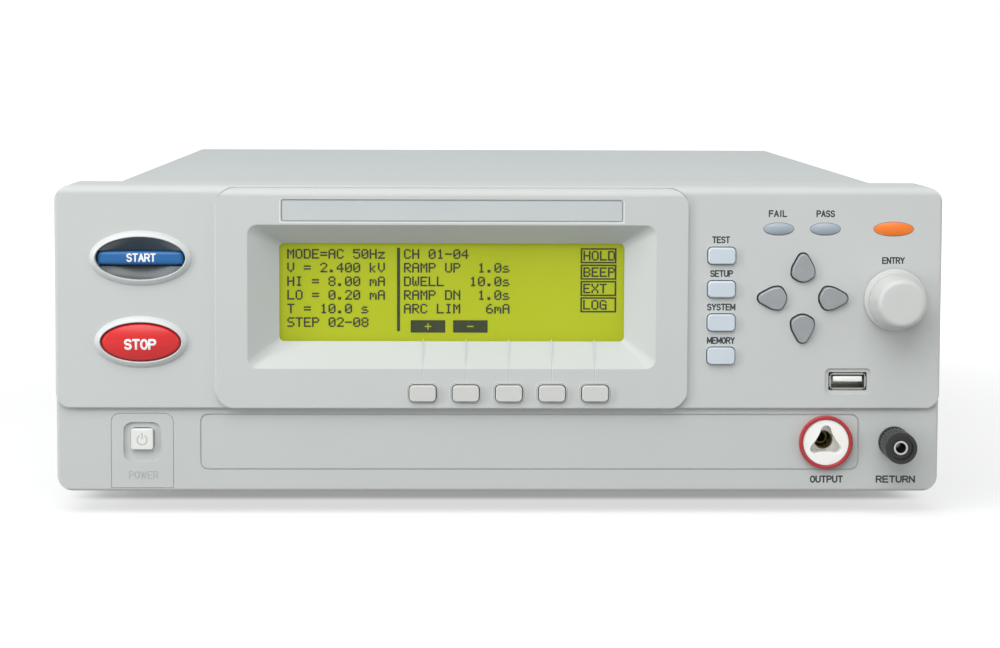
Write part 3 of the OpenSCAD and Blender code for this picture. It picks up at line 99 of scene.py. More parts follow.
def add(tree, kind, feeds=None, **settings):
    """Adds a node, sets its own settings, and sets or links the inputs that feeds names."""
    node = tree.nodes.new(kind)
    for name, value in settings.items():
        setattr(node, name, value)
    for socket, value in (feeds or {}).items():
        for one in value if isinstance(value, list) else [value]:
            if isinstance(one, bpy.types.NodeSocket):
                tree.links.new(one, node.inputs[socket])
            else:
                node.inputs[socket].default_value = one
    return node


def blank(name):
    """A new material with only its output, and a place to read Object coordinates from."""
    material = bpy.data.materials.new(name)
    material.use_nodes = True
    tree = material.node_tree
    tree.nodes.clear()
    out = add(tree, "ShaderNodeOutputMaterial")
    place = add(tree, "ShaderNodeTexCoord").outputs["Object"]
    return material, tree, out, place


def mottled(tree, place, dark, light, size_mm, detail=3):
    """Colour that drifts between two tones over size_mm."""
    noise = add(tree, "ShaderNodeTexNoise", {"Vector": place, "Scale": 1 / (size_mm * MM), "Detail": detail})
    return add(tree, "ShaderNodeMix", {0: noise.outputs["Fac"], 6: linear(dark), 7: linear(light)},
               data_type="RGBA").outputs[2]


def relief(tree, height, depth_mm, strength=0.5, under=None):
    """Bump from a height pattern that is depth_mm deep."""
    feeds = {"Height": height, "Distance": depth_mm * MM, "Strength": strength}
    if under is not None:
        feeds["Normal"] = under
    return add(tree, "ShaderNodeBump", feeds).outputs["Normal"]


def moulding(name, dark, light, grain_mm, depth_mm, rough, coat=0.0, drift_mm=45, spread=0.08, **sockets):
    """Injection-moulded plastic: drifting tone, spark-eroded grain and a gloss that follows the grain."""
    material, tree, out, place = blank(name)
    colour = mottled(tree, place, dark, light, drift_mm)
    grain = add(tree, "ShaderNodeTexNoise", {"Vector": place, "Scale": 1 / (grain_mm * MM), "Detail": 2,
                                             "Roughness": 0.6}).outputs["Fac"]
    gloss = add(tree, "ShaderNodeMapRange", {"Value": grain, "To Min": rough - spread, "To Max": rough + spread})
    skin = add(tree, "ShaderNodeBsdfPrincipled", {
        "Base Color": colour, "Roughness": gloss.outputs["Result"], "IOR": 1.5,
        "Normal": relief(tree, grain, depth_mm)})
    skin.inputs["Coat Weight"].default_value = coat
    skin.inputs["Coat Roughness"].default_value = 0.12
    for socket, value in sockets.items():
        skin.inputs[socket.replace("_", " ")].default_value = value
    tree.links.new(skin.outputs[0], out.inputs["Surface"])
    return material


def metal(name, dark, light, rough, spread, pattern_mm, stretch=(1, 1, 1), cells=False, depth_mm=0.01):
    """Bare or plated metal: gloss and tone follow brushing, or the cells of a zinc coat."""
    material, tree, out, place = blank(name)
    pulled = add(tree, "ShaderNodeMapping", {"Vector": place, "Scale": stretch}).outputs[0]
    if cells:
        pattern = add(tree, "ShaderNodeTexVoronoi", {"Vector": pulled, "Scale": 1 / (pattern_mm * MM)})
        value = add(tree, "ShaderNodeSeparateColor", {0: pattern.outputs["Color"]}).outputs[0]
    else:
        value = add(tree, "ShaderNodeTexNoise", {"Vector": pulled, "Scale": 1 / (pattern_mm * MM),
                                                 "Detail": 4}).outputs["Fac"]
    colour = add(tree, "ShaderNodeMix", {0: value, 6: linear(dark), 7: linear(light)}, data_type="RGBA").outputs[2]
    gloss = add(tree, "ShaderNodeMapRange", {"Value": value, "To Min": rough - spread, "To Max": rough + spread})
    skin = add(tree, "ShaderNodeBsdfPrincipled", {
        "Base Color": colour, "Metallic": 1.0, "Roughness": gloss.outputs["Result"],
        "Normal": relief(tree, value, depth_mm, 0.3)})
    tree.links.new(skin.outputs[0], out.inputs["Surface"])
    return material


# ABS with a spark-eroded grain: a dry, even light grey that shows no sharp reflection
abs_grey = moulding("moulded_abs_light_grey", "#c1c5c3", "#c6c9c7", 0.55, 0.03, 0.55)
# Painted shade: the lower panel is the same ABS, a tone darker for the shadow the fascia casts on it; the bezel and
# power plate take it too
abs_grey_shaded = moulding("moulded_abs_painted_shade", "#bdc2c1", "#c3c6c4", 0.55, 0.03, 0.55)
# Powder coat on the steel cover: orange peel a millimetre wide, with a soft sheen
powder_coat = moulding("powder_coated_steel_grey", "#adb5b5", "#b4bbbb", 1.2, 0.05, 0.42, drift_mm=120)
# Bright satin ABS of the button rims: smoother, so it takes light along its slope
satin_white = moulding("satin_abs_rim_white", "#c6caca", "#cfd3d3", 0.9, 0.006, 0.34, coat=0.15, drift_mm=18)
# Slate-coloured gloss bowl behind the start bar
slate_gloss = moulding("gloss_abs_slate_bowl", "#3f4748", "#485051", 1.1, 0.004, 0.3, coat=0.3, drift_mm=12)
# Polished blue bar, a little uneven in depth as tinted ABS is
start_blue = moulding("polished_abs_blue", "#015694", "#0466a6", 0.8, 0.004, 0.34, coat=0.08, drift_mm=9)
# Tinted translucent red cap: light scatters a millimetre into it
stop_red = moulding("tinted_acrylic_red", "#cc1012", "#d6181a", 0.9, 0.004, 0.32, coat=0.12, drift_mm=11,
                    Subsurface_Weight=0.12, Subsurface_Scale=0.001)
# Frosted acrylic lamp lenses: unlit ones read blue-grey, the output lamp glows a little
lens_grey = moulding("frosted_acrylic_grey", "#9aa5b0", "#a4afb9", 0.7, 0.01, 0.38, drift_mm=5,
                     Subsurface_Weight=0.1, Subsurface_Scale=0.0008)
lens_orange = moulding("frosted_acrylic_orange", "#dd6c12", "#e6791c", 0.7, 0.01, 0.36, drift_mm=5,
                       Emission_Color=linear("#f5822a"), Emission_Strength=0.12)
# Silicone-coated key caps: pale blue function keys and warmer display keys
key_blue = moulding("satin_key_pale_blue", "#c2cdd6", "#ccd6de", 0.45, 0.008, 0.4, drift_mm=7)
key_white = moulding("satin_key_warm_white", "#c8c9c5", "#d0d1cd", 0.45, 0.008, 0.4, drift_mm=7)
# Knob and power button: off-white ABS, satin where fingers polish it
knob_white = moulding("satin_abs_off_white", "#c6c8c6", "#cdcfcc", 0.5, 0.012, 0.4, drift_mm=9)
button_white = moulding("satin_abs_button_white", "#dfe0dc", "#e6e7e3", 0.5, 0.006, 0.32, coat=0.2, drift_mm=6)
# Cursor keys: ABS sprayed with a fine metallic grey
cursor_grey = moulding("metallic_sprayed_abs", "#8b9092", "#999d9f", 0.25, 0.006, 0.36, drift_mm=4,
                       Metallic=0.35)
# Black mouldings: grained on the fan frame and switch, polished on the inlet and the rotor
black_abs = moulding("moulded_abs_black", "#1c1d1e", "#262728", 0.5, 0.02, 0.42)
black_gloss = moulding("polished_phenolic_black", "#101112", "#18191a", 0.6, 0.004, 0.24, coat=0.3)
ring_red = moulding("moulded_nylon_red", "#a60f1a", "#b41722", 0.6, 0.006, 0.33, coat=0.2, drift_mm=9)
# Sintered fluoropolymer insulator: waxy white that lets light in
ptfe_white = moulding("turned_ptfe_white", "#f9f8f3", "#fcfbf7", 0.7, 0.006, 0.38, drift_mm=6,
                      Subsurface_Weight=0.25, Subsurface_Scale=0.002)
# Dull rubber of the feet, and silicone leads, polyester tape and varnished steel inside the case
rubber = moulding("moulded_rubber_dark", "#26282a", "#303234", 0.6, 0.03, 0.78)
silicone_red = moulding("silicone_lead_red", "#a62a26", "#b6352f", 0.7, 0.01, 0.5)
tape_yellow = moulding("polyester_winding_tape", "#c4a54c", "#d4b765", 2.4, 0.05, 0.35, drift_mm=8)
varnish_brown = moulding("varnished_laminations", "#51463a", "#6b5d4a", 0.6, 0.06, 0.4, drift_mm=10)
# Bright nickel on the posts and shells, rolled grain on the tray and zinc spangle on the rear panel
nickel = metal("nickel_plated_brass", "#a2a29e", "#bfbfba", 0.2, 0.06, 0.8, (1, 1, 6))
zinc = metal("zinc_plated_sheet", "#a4a8a8", "#bcc0c0", 0.36, 0.08, 7, cells=True)
steel_wire = metal("bright_drawn_wire", "#a9abac", "#c4c6c7", 0.24, 0.06, 0.9, (1, 4, 1))
brass = metal("gold_flashed_contact", "#b9953f", "#d6b763", 0.22, 0.05, 0.7)
anodised = metal("black_anodised_fins", "#3b3d40", "#4c4f52", 0.4, 0.06, 1.1, (6, 1, 1))
# Matt printed film on the strip above the display: cooler and flatter than the plastic around it
strip_metal = moulding("matt_label_film", "#bdc3c4", "#c3c9c9", 0.4, 0.008, 0.5, drift_mm=22)
# Printed inks: flat, with a hardly visible unevenness, and the display's dark dots
ink_dark = moulding("screen_print_slate", "#1f272b", "#283135", 0.3, 0.004, 0.6, drift_mm=3)
ink_white = moulding("pad_print_white", "#eef1f2", "#f7f9f9", 0.3, 0.004, 0.5, drift_mm=3)
lcd_ink = moulding("liquid_crystal_dot", "#232c0a", "#2c360e", 0.5, 0.002, 0.4, drift_mm=4)
# Moulded relief in the panels and caps: the same plastic, a tone darker as painted shade
relief_shade_grey = moulding("moulded_relief_painted_shade", "#a9afad", "#b0b5b3", 0.5, 0.01, 0.6, drift_mm=5)
# Dull bronze of the output contact
bronze = metal("tarnished_bronze", "#6d6434", "#8f854e", 0.48, 0.08, 0.9)
# Tinned shell of the data socket, an olive sleeve of painted shade round the output contact, and the cap's black
# phenolic
shell_steel = metal("tinned_steel_shell", "#858582", "#a5a5a1", 0.3, 0.06, 0.9)
olive_bore_shade = moulding("painted_olive_bore_shade", "#8d8355", "#9b9163", 0.8, 0.01, 0.45, drift_mm=5)
post_black = moulding("turned_phenolic_cap", "#0c0d0d", "#131415", 0.5, 0.01, 0.36)
# Painted shade and highlight: a dark tone for the gap round a lamp, one for a terminal's bore, and the painted dark
# and light side of a fine groove
lamp_gap_shade = moulding("painted_lamp_gap_shade", "#6b757b", "#778187", 0.4, 0.004, 0.6, drift_mm=3)
bore_shade_black = moulding("painted_bore_shade", "#131415", "#1a1b1c", 0.4, 0.01, 0.5, drift_mm=4)
gap_shadow = moulding("painted_groove_shade", "#9ba19f", "#a6abaa", 0.5, 0.01, 0.7, drift_mm=5)
groove_light = moulding("painted_groove_highlight", "#dcdfde", "#e4e7e6", 0.5, 0.01, 0.5, drift_mm=5)


def display_film():
    """Super-twist display under its polariser: yellow-green, a dot raster too fine to read, lit from behind."""
    material, tree, out, place = blank("backlit_stn_film")
    drift = add(tree, "ShaderNodeTexNoise", {"Vector": place, "Scale": 1 / (60 * MM), "Detail": 2})
    colour = add(tree, "ShaderNodeMix", {0: drift.outputs["Fac"], 6: linear("#adb91f"), 7: linear("#b7c22b")},
                 data_type="RGBA").outputs[2]
    # One raster line for each display dot, 0.53 mm apart
    raster = [add(tree, "ShaderNodeTexWave", {"Vector": place, "Scale": 2 * math.pi / (20 * PITCH * MM)},
                  bands_direction=axis).outputs["Fac"] for axis in ("X", "Z")]
    net = add(tree, "ShaderNodeMath", {0: raster[0], 1: raster[1]}, operation="MINIMUM").outputs[0]
    dim = add(tree, "ShaderNodeMapRange", {"Value": net, "From Max": 0.25, "To Min": 0.94, "To Max": 1.0})
    shade = add(tree, "ShaderNodeVectorMath", {0: colour, "Scale": dim.outputs[0]}, operation="SCALE").outputs[0]
    skin = add(tree, "ShaderNodeBsdfPrincipled", {
        "Base Color": shade, "Roughness": 0.35, "Specular IOR Level": 0.12, "Emission Color": shade,
        "Emission Strength": 0.28})
    tree.links.new(skin.outputs[0], out.inputs["Surface"])
    return material


def clear_acrylic():
    """Polished clear window: almost all light passes, with a faint cast and a soft gloss."""
    material, tree, out, place = blank("polished_clear_acrylic")
    smear = add(tree, "ShaderNodeTexNoise", {"Vector": place, "Scale": 1 / (25 * MM), "Detail": 3})
    gloss = add(tree, "ShaderNodeMapRange", {"Value": smear.outputs["Fac"], "To Min": 0.08, "To Max": 0.16})
    skin = add(tree, "ShaderNodeBsdfPrincipled", {
        "Base Color": linear("#33382a"), "Roughness": gloss.outputs[0], "IOR": 1.49, "Alpha": 0.06})
    tree.links.new(skin.outputs[0], out.inputs["Surface"])
    return material


def circuit_board():
    """Green solder mask over copper tracks 1.2 mm apart."""
    material, tree, out, place = blank("green_solder_mask")
    tracks = add(tree, "ShaderNodeTexBrick", {
        "Vector": place, "Color1": linear("#1c6b3c"), "Color2": linear("#217545"), "Mortar": linear("#2f8a55"),
        "Scale": 1 / (10 * MM), "Mortar Size": 0.03, "Brick Width": 0.8, "Row Height": 0.12})
    skin = add(tree, "ShaderNodeBsdfPrincipled", {
        "Base Color": tracks.outputs["Color"], "Roughness": 0.35,
        "Normal": relief(tree, tracks.outputs["Fac"], 0.035)})
    tree.links.new(skin.outputs[0], out.inputs["Surface"])
    return material


lcd_film = display_film()
window_clear = clear_acrylic()
solder_mask = circuit_board()

FINISH = {
    "front_bezel": abs_grey_shaded, "upper_fascia": abs_grey, "display_surround": abs_grey,
    "power_plate": abs_grey_shaded, "label_plate": strip_metal, "lcd_window": window_clear,
    "lcd_module": lcd_film, "start_rim": satin_white, "stop_rim": satin_white, "start_dish": slate_gloss,
    "start_button": start_blue, "stop_button": stop_red, "fail_lamp": lens_grey, "pass_lamp": lens_grey,
    "output_lamp": lens_orange, "entry_knob": knob_white, "encoder_shaft": nickel,
    "encoder_housing": anodised, "usb_socket": shell_steel, "keypad_board": solder_mask,
    "power_button": button_white, "power_switch": black_abs, "output_ring": ring_red,
    "output_insulator": ptfe_white, "output_contact": bronze, "return_base": black_abs,
    "return_post": nickel, "clamp_washer": nickel, "return_cap": post_black, "base_tray": zinc,
    "top_cover": powder_coat, "rear_panel": zinc, "feet": rubber, "tilt_bail": steel_wire,
    "main_board": solder_mask, "hv_transformer": varnish_brown, "supply_transformer": tape_yellow,
    "amplifier": anodised, "fan_frame": black_abs, "fan_rotor": black_gloss, "fan_guard": steel_wire,
    "mains_inlet": black_gloss, "fuse_drawer": black_abs, "interface_ports": nickel,
    "ground_stud": brass, "internal_leads": silicone_red, "case_screws": nickel,
}
for i in range(5):
    FINISH[f"softkey_{i + 1}"] = key_white
for key in ("test_key", "setup_key", "system_key", "memory_key"):
    FINISH[key] = key_blue
for key in ARROWS:
    FINISH[f"{key}_key"] = cursor_grey
for node, material in FINISH.items():
    mesh = frame["nodes"][node].data
    mesh.materials.clear()
    mesh.materials.append(material)


# Making pieces

BODY = {n: body for body, nodes in frame["record"]["behaviour"]["bodies"].items() for n in nodes}


def piece(name, mesh, body, stands_for=()):
    """Puts a mesh, already in its place, in the scene on its CAD body."""
    obj = bpy.data.objects.new(name, mesh)
    bpy.context.scene.collection.objects.link(obj)
    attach(obj, body)
    if stands_for:
        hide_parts(*stands_for)
    return obj


def shaded(name, bm, material, crease=32):
    """Turns a bmesh into a mesh with outward faces, smooth but for edges sharper than crease degrees."""
    bmesh.ops.remove_doubles(bm, verts=bm.verts, dist=1e-7)
    bmesh.ops.recalc_face_normals(bm, faces=bm.faces)
    mesh = bpy.data.meshes.new(name)
    bm.to_mesh(mesh)
    bm.free()
    mesh.materials.append(material)
    mesh.polygons.foreach_set("use_smooth", [True] * len(mesh.polygons))
    mesh.set_sharp_from_angle(angle=math.radians(crease))
    return mesh


def skin_rings(bm, rings, loop=False):
    """Joins rings of points into a closed skin: end rings are capped, or joined when loop is set."""
    rows = [[bm.verts.new(p) for p in ring] for ring in rings]
    pairs = list(zip(rows, rows[1:])) + ([(rows[-1], rows[0])] if loop else [])
    for a, b in pairs:
        for k in range(len(a)):
            n = (k + 1) % len(a)
            bm.faces.new((a[k], a[n], b[n], b[k]))
    if not loop:
        bm.faces.new(rows[0])
        bm.faces.new(list(reversed(rows[-1])))


def oval_ring(x, z, half_w, half_h, y, count=96):
    return [panel(x + half_w * math.cos(t), y, z + half_h * math.sin(t))
            for t in (2 * math.pi * k / count for k in range(count))]


def soft_ring(x, z, half_w, half_h, radius, y, arc=8):
    """A rectangle with rounded corners, seen from the front."""
    points = []
    for cx, cz, start in ((1, 1, 0), (-1, 1, 90), (-1, -1, 180), (1, -1, 270)):
        for k in range(arc + 1):
            t = math.radians(start + 90 * k / arc)
            points.append(panel(x + cx * (half_w - radius) + radius * math.cos(t), y,
                                z + cz * (half_h - radius) + radius * math.sin(t)))
    return points


def box_at(bm, low, high):
    """A closed block between two corners, in panel millimetres."""
    made = bmesh.ops.create_cube(bm, size=1)["verts"]
    a, b = panel(*low), panel(*high)
    for v in made:
        v.co = Vector([(a[i] + b[i]) / 2 + v.co[i] * (b[i] - a[i]) for i in range(3)])


def softened(node, width_mm, angle=35, wide=None, wide_mm=0.0):
    """A CAD node's own shape, doubles merged and sharp edges rounded by width_mm; where wide(a, b) holds for
    an edge's two ends, by wide_mm."""
    source = frame["nodes"][node]
    bm = bmesh.new()
    bm.from_mesh(source.data)
    bmesh.ops.remove_doubles(bm, verts=bm.verts, dist=2e-6)
    bmesh.ops.dissolve_limit(bm, angle_limit=math.radians(1.0), verts=bm.verts, edges=bm.edges)
    plain = bpy.data.meshes.new(node + "_plain")
    plain.from_pydata([v.co.copy() for v in bm.verts], [], [[v.index for v in f.verts] for f in bm.faces])
    bm.free()
    obj = bpy.data.objects.new(node + "_plain", plain)
    bpy.context.scene.collection.objects.link(obj)
    if wide:
        ends = [v.co.copy() for v in plain.vertices]
        plain.attributes.new("bevel_weight_edge", "FLOAT", "EDGE").data.foreach_set(
            "value", [float(wide(*(ends[i] for i in e.vertices))) for e in plain.edges])
        broad = obj.modifiers.new("wide_edge", "BEVEL")
        broad.width, broad.segments, broad.limit_method = wide_mm * MM, 5, "WEIGHT"
    bevel = obj.modifiers.new("edge", "BEVEL")
    bevel.width, bevel.segments = width_mm * MM, 3
    bevel.limit_method, bevel.angle_limit = "ANGLE", math.radians(angle)
    plain.polygons.foreach_set("use_smooth", [True] * len(plain.polygons))
    plain.set_sharp_from_angle(angle=math.radians(50))
    weight = obj.modifiers.new("weight", "WEIGHTED_NORMAL")
    weight.keep_sharp = True
    mesh = bpy.data.meshes.new_from_object(obj.evaluated_get(bpy.context.evaluated_depsgraph_get()))
    bpy.data.objects.remove(obj)
    mesh.materials.clear()
    mesh.materials.append(FINISH[node])
    return mesh


def stand_in(name, mesh, *nodes):
    """A visual piece that replaces CAD nodes and rides with the first one's body."""
    return piece(name, mesh, BODY[nodes[0]], nodes)


def cut_away(mesh, *cutters):
    """The mesh less the cutters, each a closed bmesh."""
    obj = bpy.data.objects.new("whole", mesh)
    bpy.context.scene.collection.objects.link(obj)
    tools = []
    for bm in cutters:
        tool = bpy.data.objects.new("tool", shaded("tool", bm, mesh.materials[0]))
        bpy.context.scene.collection.objects.link(tool)
        tools.append(tool)
        cut = obj.modifiers.new("cut", "BOOLEAN")
        cut.operation, cut.solver, cut.object = "DIFFERENCE", "EXACT", tool
    made = bpy.data.meshes.new_from_object(obj.evaluated_get(bpy.context.evaluated_depsgraph_get()))
    for o in tools + [obj]:
        bpy.data.objects.remove(o)
    made.materials.clear()
    made.materials.append(mesh.materials[0])
    made.polygons.foreach_set("use_smooth", [True] * len(made.polygons))
    made.set_sharp_from_angle(angle=math.radians(32))
    return made


def arc(x, z, rx, rz, start, end, count=6):
    return [(x + rx * math.cos(t), z + rz * math.sin(t))
            for t in (math.radians(start + (end - start) * k / count) for k in range(count + 1))]


# Letters as strokes on a field 4 wide and 6 high
LETTERS = {
    "A": [[(0, 0), (2, 6), (4, 0)], [(0.75, 2), (3.25, 2)]],
    "E": [[(3.9, 6), (0, 6), (0, 0), (3.9, 0)], [(0, 3.1), (3.4, 3.1)]],
    "F": [[(3.9, 6), (0, 6), (0, 0)], [(0, 3.1), (3.3, 3.1)]],
    "I": [[(1, 0), (1, 6)]],
    "L": [[(0, 6), (0, 0), (3.6, 0)]],
    "M": [[(0, 0), (0, 6), (2.4, 1.2), (4.8, 6), (4.8, 0)]],
    "N": [[(0, 0), (0, 6), (4, 0), (4, 6)]],
    "O": [arc(2, 3, 2, 3, 0, 360, 16)],
    "P": [[(0, 0), (0, 6)] + arc(2.5, 4.45, 1.5, 1.55, 90, -90) + [(0, 2.9)]],
    "R": [[(0, 0), (0, 6)] + arc(2.5, 4.45, 1.5, 1.55, 90, -90) + [(0, 2.9)], [(2.3, 2.9), (4, 0)]],
    "S": [arc(2, 4.5, 1.9, 1.5, 25, 250, 8) + arc(2, 1.5, 1.95, 1.55, 80, -155, 9)],
    "T": [[(0, 6), (4, 6)], [(2, 6), (2, 0)]],
    "U": [[(0, 6)] + arc(2, 2, 2, 2, 180, 360, 8) + [(4, 6)]],
    "W": [[(0, 6), (1.4, 0), (2.8, 5.4), (4.2, 0), (5.6, 6)]],
    "Y": [[(0, 6), (2, 2.7), (4, 6)], [(2, 2.7), (2, 0)]],
}
LETTER_WIDTH = {"I": 2, "M": 4.8, "W": 5.6}
LETTER_GAP = 1.55


def stroke_field(points, edges, width, material):
    """Round strokes along the edges, made by Geometry Nodes with the stroke's width as their input."""
    mesh = bpy.data.meshes.new("strokes")
    mesh.from_pydata(points, edges, [])
    obj = bpy.data.objects.new("strokes", mesh)
    bpy.context.scene.collection.objects.link(obj)
    tree = bpy.data.node_groups.new("strokes_on_lines", "GeometryNodeTree")
    tree.interface.new_socket("Lines", in_out="INPUT", socket_type="NodeSocketGeometry")
    broad = tree.interface.new_socket("Stroke Width", in_out="INPUT", socket_type="NodeSocketFloat")
    tree.interface.new_socket("Strokes", in_out="OUTPUT", socket_type="NodeSocketGeometry")
    given = add(tree, "NodeGroupInput")
    half = add(tree, "ShaderNodeMath", {0: given.outputs["Stroke Width"], 1: 0.5}, operation="MULTIPLY").outputs[0]
    line = add(tree, "GeometryNodeMeshToCurve", {"Mesh": given.outputs["Lines"]})
    section = add(tree, "GeometryNodeCurvePrimitiveCircle", {"Resolution": 8, "Radius": half})
    bars = add(tree, "GeometryNodeCurveToMesh", {
        "Curve": line.outputs[0], "Profile Curve": section.outputs[0], "Fill Caps": True})
    ends = add(tree, "GeometryNodeMergeByDistance", {"Geometry": given.outputs["Lines"], "Distance": 1e-6})
    bead = add(tree, "GeometryNodeMeshUVSphere", {"Segments": 10, "Rings": 6, "Radius": half})
    beads = add(tree, "GeometryNodeInstanceOnPoints", {
        "Points": ends.outputs[0], "Instance": bead.outputs["Mesh"]})
    both = add(tree, "GeometryNodeJoinGeometry", {"Geometry": [bars.outputs[0], beads.outputs[0]]})
    solid = add(tree, "GeometryNodeRealizeInstances", {"Geometry": both.outputs[0]})
    inked = add(tree, "GeometryNodeSetMaterial", {"Geometry": solid.outputs[0], "Material": material})
    add(tree, "NodeGroupOutput", {"Strokes": inked.outputs[0]})
    field = obj.modifiers.new("strokes", "NODES")
    field.node_group = tree
    field[broad.identifier] = width
    made = bpy.data.meshes.new_from_object(obj.evaluated_get(bpy.context.evaluated_depsgraph_get()))
    bpy.data.objects.remove(obj)
    return made


def drawn(name, lines, surface, body, material, stroke=0.5, proud=0.05, cuts=1):
    """Raised strokes along lines of (x, z) points in mm, pressed flat on surface(x, z), which gives y in mm."""
    points, edges = [], []
    for line in lines:
        for a, b in zip(line, line[1:]):
            for k in range(cuts):
                for t in (k / cuts, (k + 1) / cuts):
                    points.append(((a[0] + (b[0] - a[0]) * t) * MM, 0, (a[1] + (b[1] - a[1]) * t) * MM))
                edges.append((len(points) - 2, len(points) - 1))
    bm = bmesh.new()
    bm.from_mesh(stroke_field(points, edges, stroke * MM, material))
    for v in bm.verts:
        x, z = v.co.x / MM, v.co.z / MM
        v.co = panel(x, surface(x, z) + proud * v.co.y / (stroke / 2 * MM), z)
    return piece(name, shaded(name, bm, material, 40), body)


def lettering(name, words, x, z, width, height, surface, body, material, stroke=0.5, proud=0.05, cuts=1):
    """Stroke letters fitted to width and height in mm round the point (x, z)."""
    lines, left = [], 0
    for letter in words:
        lines += [[(left + u, v) for u, v in line] for line in LETTERS[letter]]
        left += LETTER_WIDTH.get(letter, 4) + LETTER_GAP
    left -= LETTER_GAP
    fitted = [[(x + (u / left - 0.5) * (width - stroke), z + (v / 6 - 0.5) * (height - stroke)) for u, v in line]
              for line in lines]
    return drawn(name, fitted, surface, body, material, stroke, proud, cuts)


def level(y):
    return lambda x, z: y


def frame_line(bm, x, z, half_w, half_h, radius, width, y, thick=0.06):
    """A thin line round a soft rectangle; here it draws painted shade and painted highlight."""
    inner = max(radius - width, 0.05)
    skin_rings(bm, [
        soft_ring(x, z, half_w, half_h, radius, y - thick),
        soft_ring(x, z, half_w - width, half_h - width, inner, y - thick),
        soft_ring(x, z, half_w - width, half_h - width, inner, y + thick),
        soft_ring(x, z, half_w, half_h, radius, y + thick)], loop=True)


# Start and stop

# From the outer foot of a rim to its lip and down the inside: share of the band's width, and y
RIM_PROFILE = [(0, -1.8), (0.02, -1.98), (0.1, -2.25), (0.3, -2.75), (0.55, -3.25), (0.72, -3.52), (0.8, -3.62),
               (0.86, -3.68), (0.92, -3.66), (0.97, -3.54), (1, -3.3), (1, 3.5), (0.5, 3.5), (0.5, -1.8)]


def rim(name, node, z, size):
    bm = bmesh.new()
    skin_rings(bm, [oval_ring(LEFT_X, z, size[0] / 2 - RIM_BAND * t, size[1] / 2 - RIM_BAND * t, y, 128)
                    for t, y in RIM_PROFILE], loop=True)
    stand_in(name, shaded(name, bm, satin_white, 50), node)


rim("start_rim_smooth", "start_rim", START_Z + 0.15, START_RIM)
rim("stop_rim_smooth", "stop_rim", STOP_Z, STOP_RIM)

# The bowl behind the start bar: a shallow dish with a slot for the bar and a bore for its stem
DISH = (17.05, 8.2)
bowl = bmesh.new()
bowl_rings = [oval_ring(LEFT_X, START_Z, *DISH, 5.2), oval_ring(LEFT_X, START_Z, *DISH, -2.55)]
for k in range(15):
    s = 0.985 * math.cos(math.pi / 2 * k / 15)
    bowl_rings.append(oval_ring(LEFT_X, START_Z, DISH[0] * s, DISH[1] * s, -2.7 + 4.2 * (1 - s * s)))
skin_rings(bowl, bowl_rings)
slot_tool, stem_tool = bmesh.new(), bmesh.new()
skin_rings(slot_tool, [soft_ring(LEFT_X, START_Z, 17.2, 3.05, 1.9, y) for y in (-6, 3.6)])
skin_rings(stem_tool, [soft_ring(LEFT_X, START_Z, 4.85, 1.95, 0.3, y) for y in (-6, 8)])
stand_in("start_bowl", cut_away(shaded("start_bowl", bowl, slate_gloss), slot_tool, stem_tool), "start_dish")

bar = bmesh.new()
bar_edge = list(zip((0.6, 0, 0, 0.2, 0.5, 0.9, 1.4, 2, 2.4),
                    (1.0, 0.6, -1.2, -1.75, -2.1, -2.32, -2.43, -2.48, -2.5)))
skin_rings(bar, [soft_ring(LEFT_X, START_Z + 0.2, 16.4 - i, 2.65 - i, max(1.6 - 0.6 * i, 0.12), y)
                 for i, y in bar_edge])
box_at(bar, (LEFT_X - 4.5, 0.9, START_Z - 1.6), (LEFT_X + 4.5, 7.4, START_Z + 1.6))
box_at(bar, (LEFT_X - 5.6, 5.5, START_Z - 2.7), (LEFT_X + 5.6, 6.7, START_Z + 2.7))
stand_in("start_bar", shaded("start_bar", bar, start_blue, 40), "start_button")

STOP = (15.15, 7.2)


def stop_face(x, z):
    s2 = min(((x - LEFT_X) / STOP[0]) ** 2 + ((z - STOP_Z) / STOP[1]) ** 2, 0.86)
    return -5.0 + 1.5 * s2 / 0.865


dome = bmesh.new()
dome_rings = [oval_ring(LEFT_X, STOP_Z, 16.7, 8.75, 5.0), oval_ring(LEFT_X, STOP_Z, 16.7, 8.75, 3.8)]
for s, y in [(1, 3.8), (1, -2.5), (0.993, -2.72), (0.935, -3.42)]:
    dome_rings.append(oval_ring(LEFT_X, STOP_Z, STOP[0] * s, STOP[1] * s, y))
for k in range(14):
    s = 0.925 * math.cos(math.pi / 2 * k / 14)
    dome_rings.append(oval_ring(LEFT_X, STOP_Z, STOP[0] * s, STOP[1] * s, -5.0 + 1.5 * s * s / 0.865))
skin_rings(dome, dome_rings)
box_at(dome, (LEFT_X - 4.5, 4.9, STOP_Z - 1.6), (LEFT_X + 4.5, 7.4, STOP_Z + 1.6))
stand_in("stop_dome", shaded("stop_dome", dome, stop_red, 40), "stop_button")

lettering("start_word", "START", LEFT_X + 0.35, START_Z + 0.35, 11.3, 3.3, level(-2.5), "start",
          ink_white, 0.6)
lettering("stop_word", "STOP", LEFT_X, STOP_Z - 0.75, 12.4, 4.3, stop_face, "stop", ink_white, 0.9,
          0.2, 4)


# Lamps

def lamp(name, node, x, width, height, lens):
    bm = bmesh.new()
    rings = [oval_ring(x, LAMP_Z, width / 2 + 1.1, height / 2 + 1.1, y, 64) for y in (3.2, 2.3)]
    rings.append(oval_ring(x, LAMP_Z, width / 2, height / 2, 2.3, 64))
    for k in range(9):
        s = math.cos(math.pi / 2 * k / 9)
        rings.append(oval_ring(x, LAMP_Z, width / 2 * s, height / 2 * s, -1.9 - 0.7 * (1 - s * s), 64))
    skin_rings(bm, rings)
    stand_in(name, shaded(name, bm, lens, 50), node)


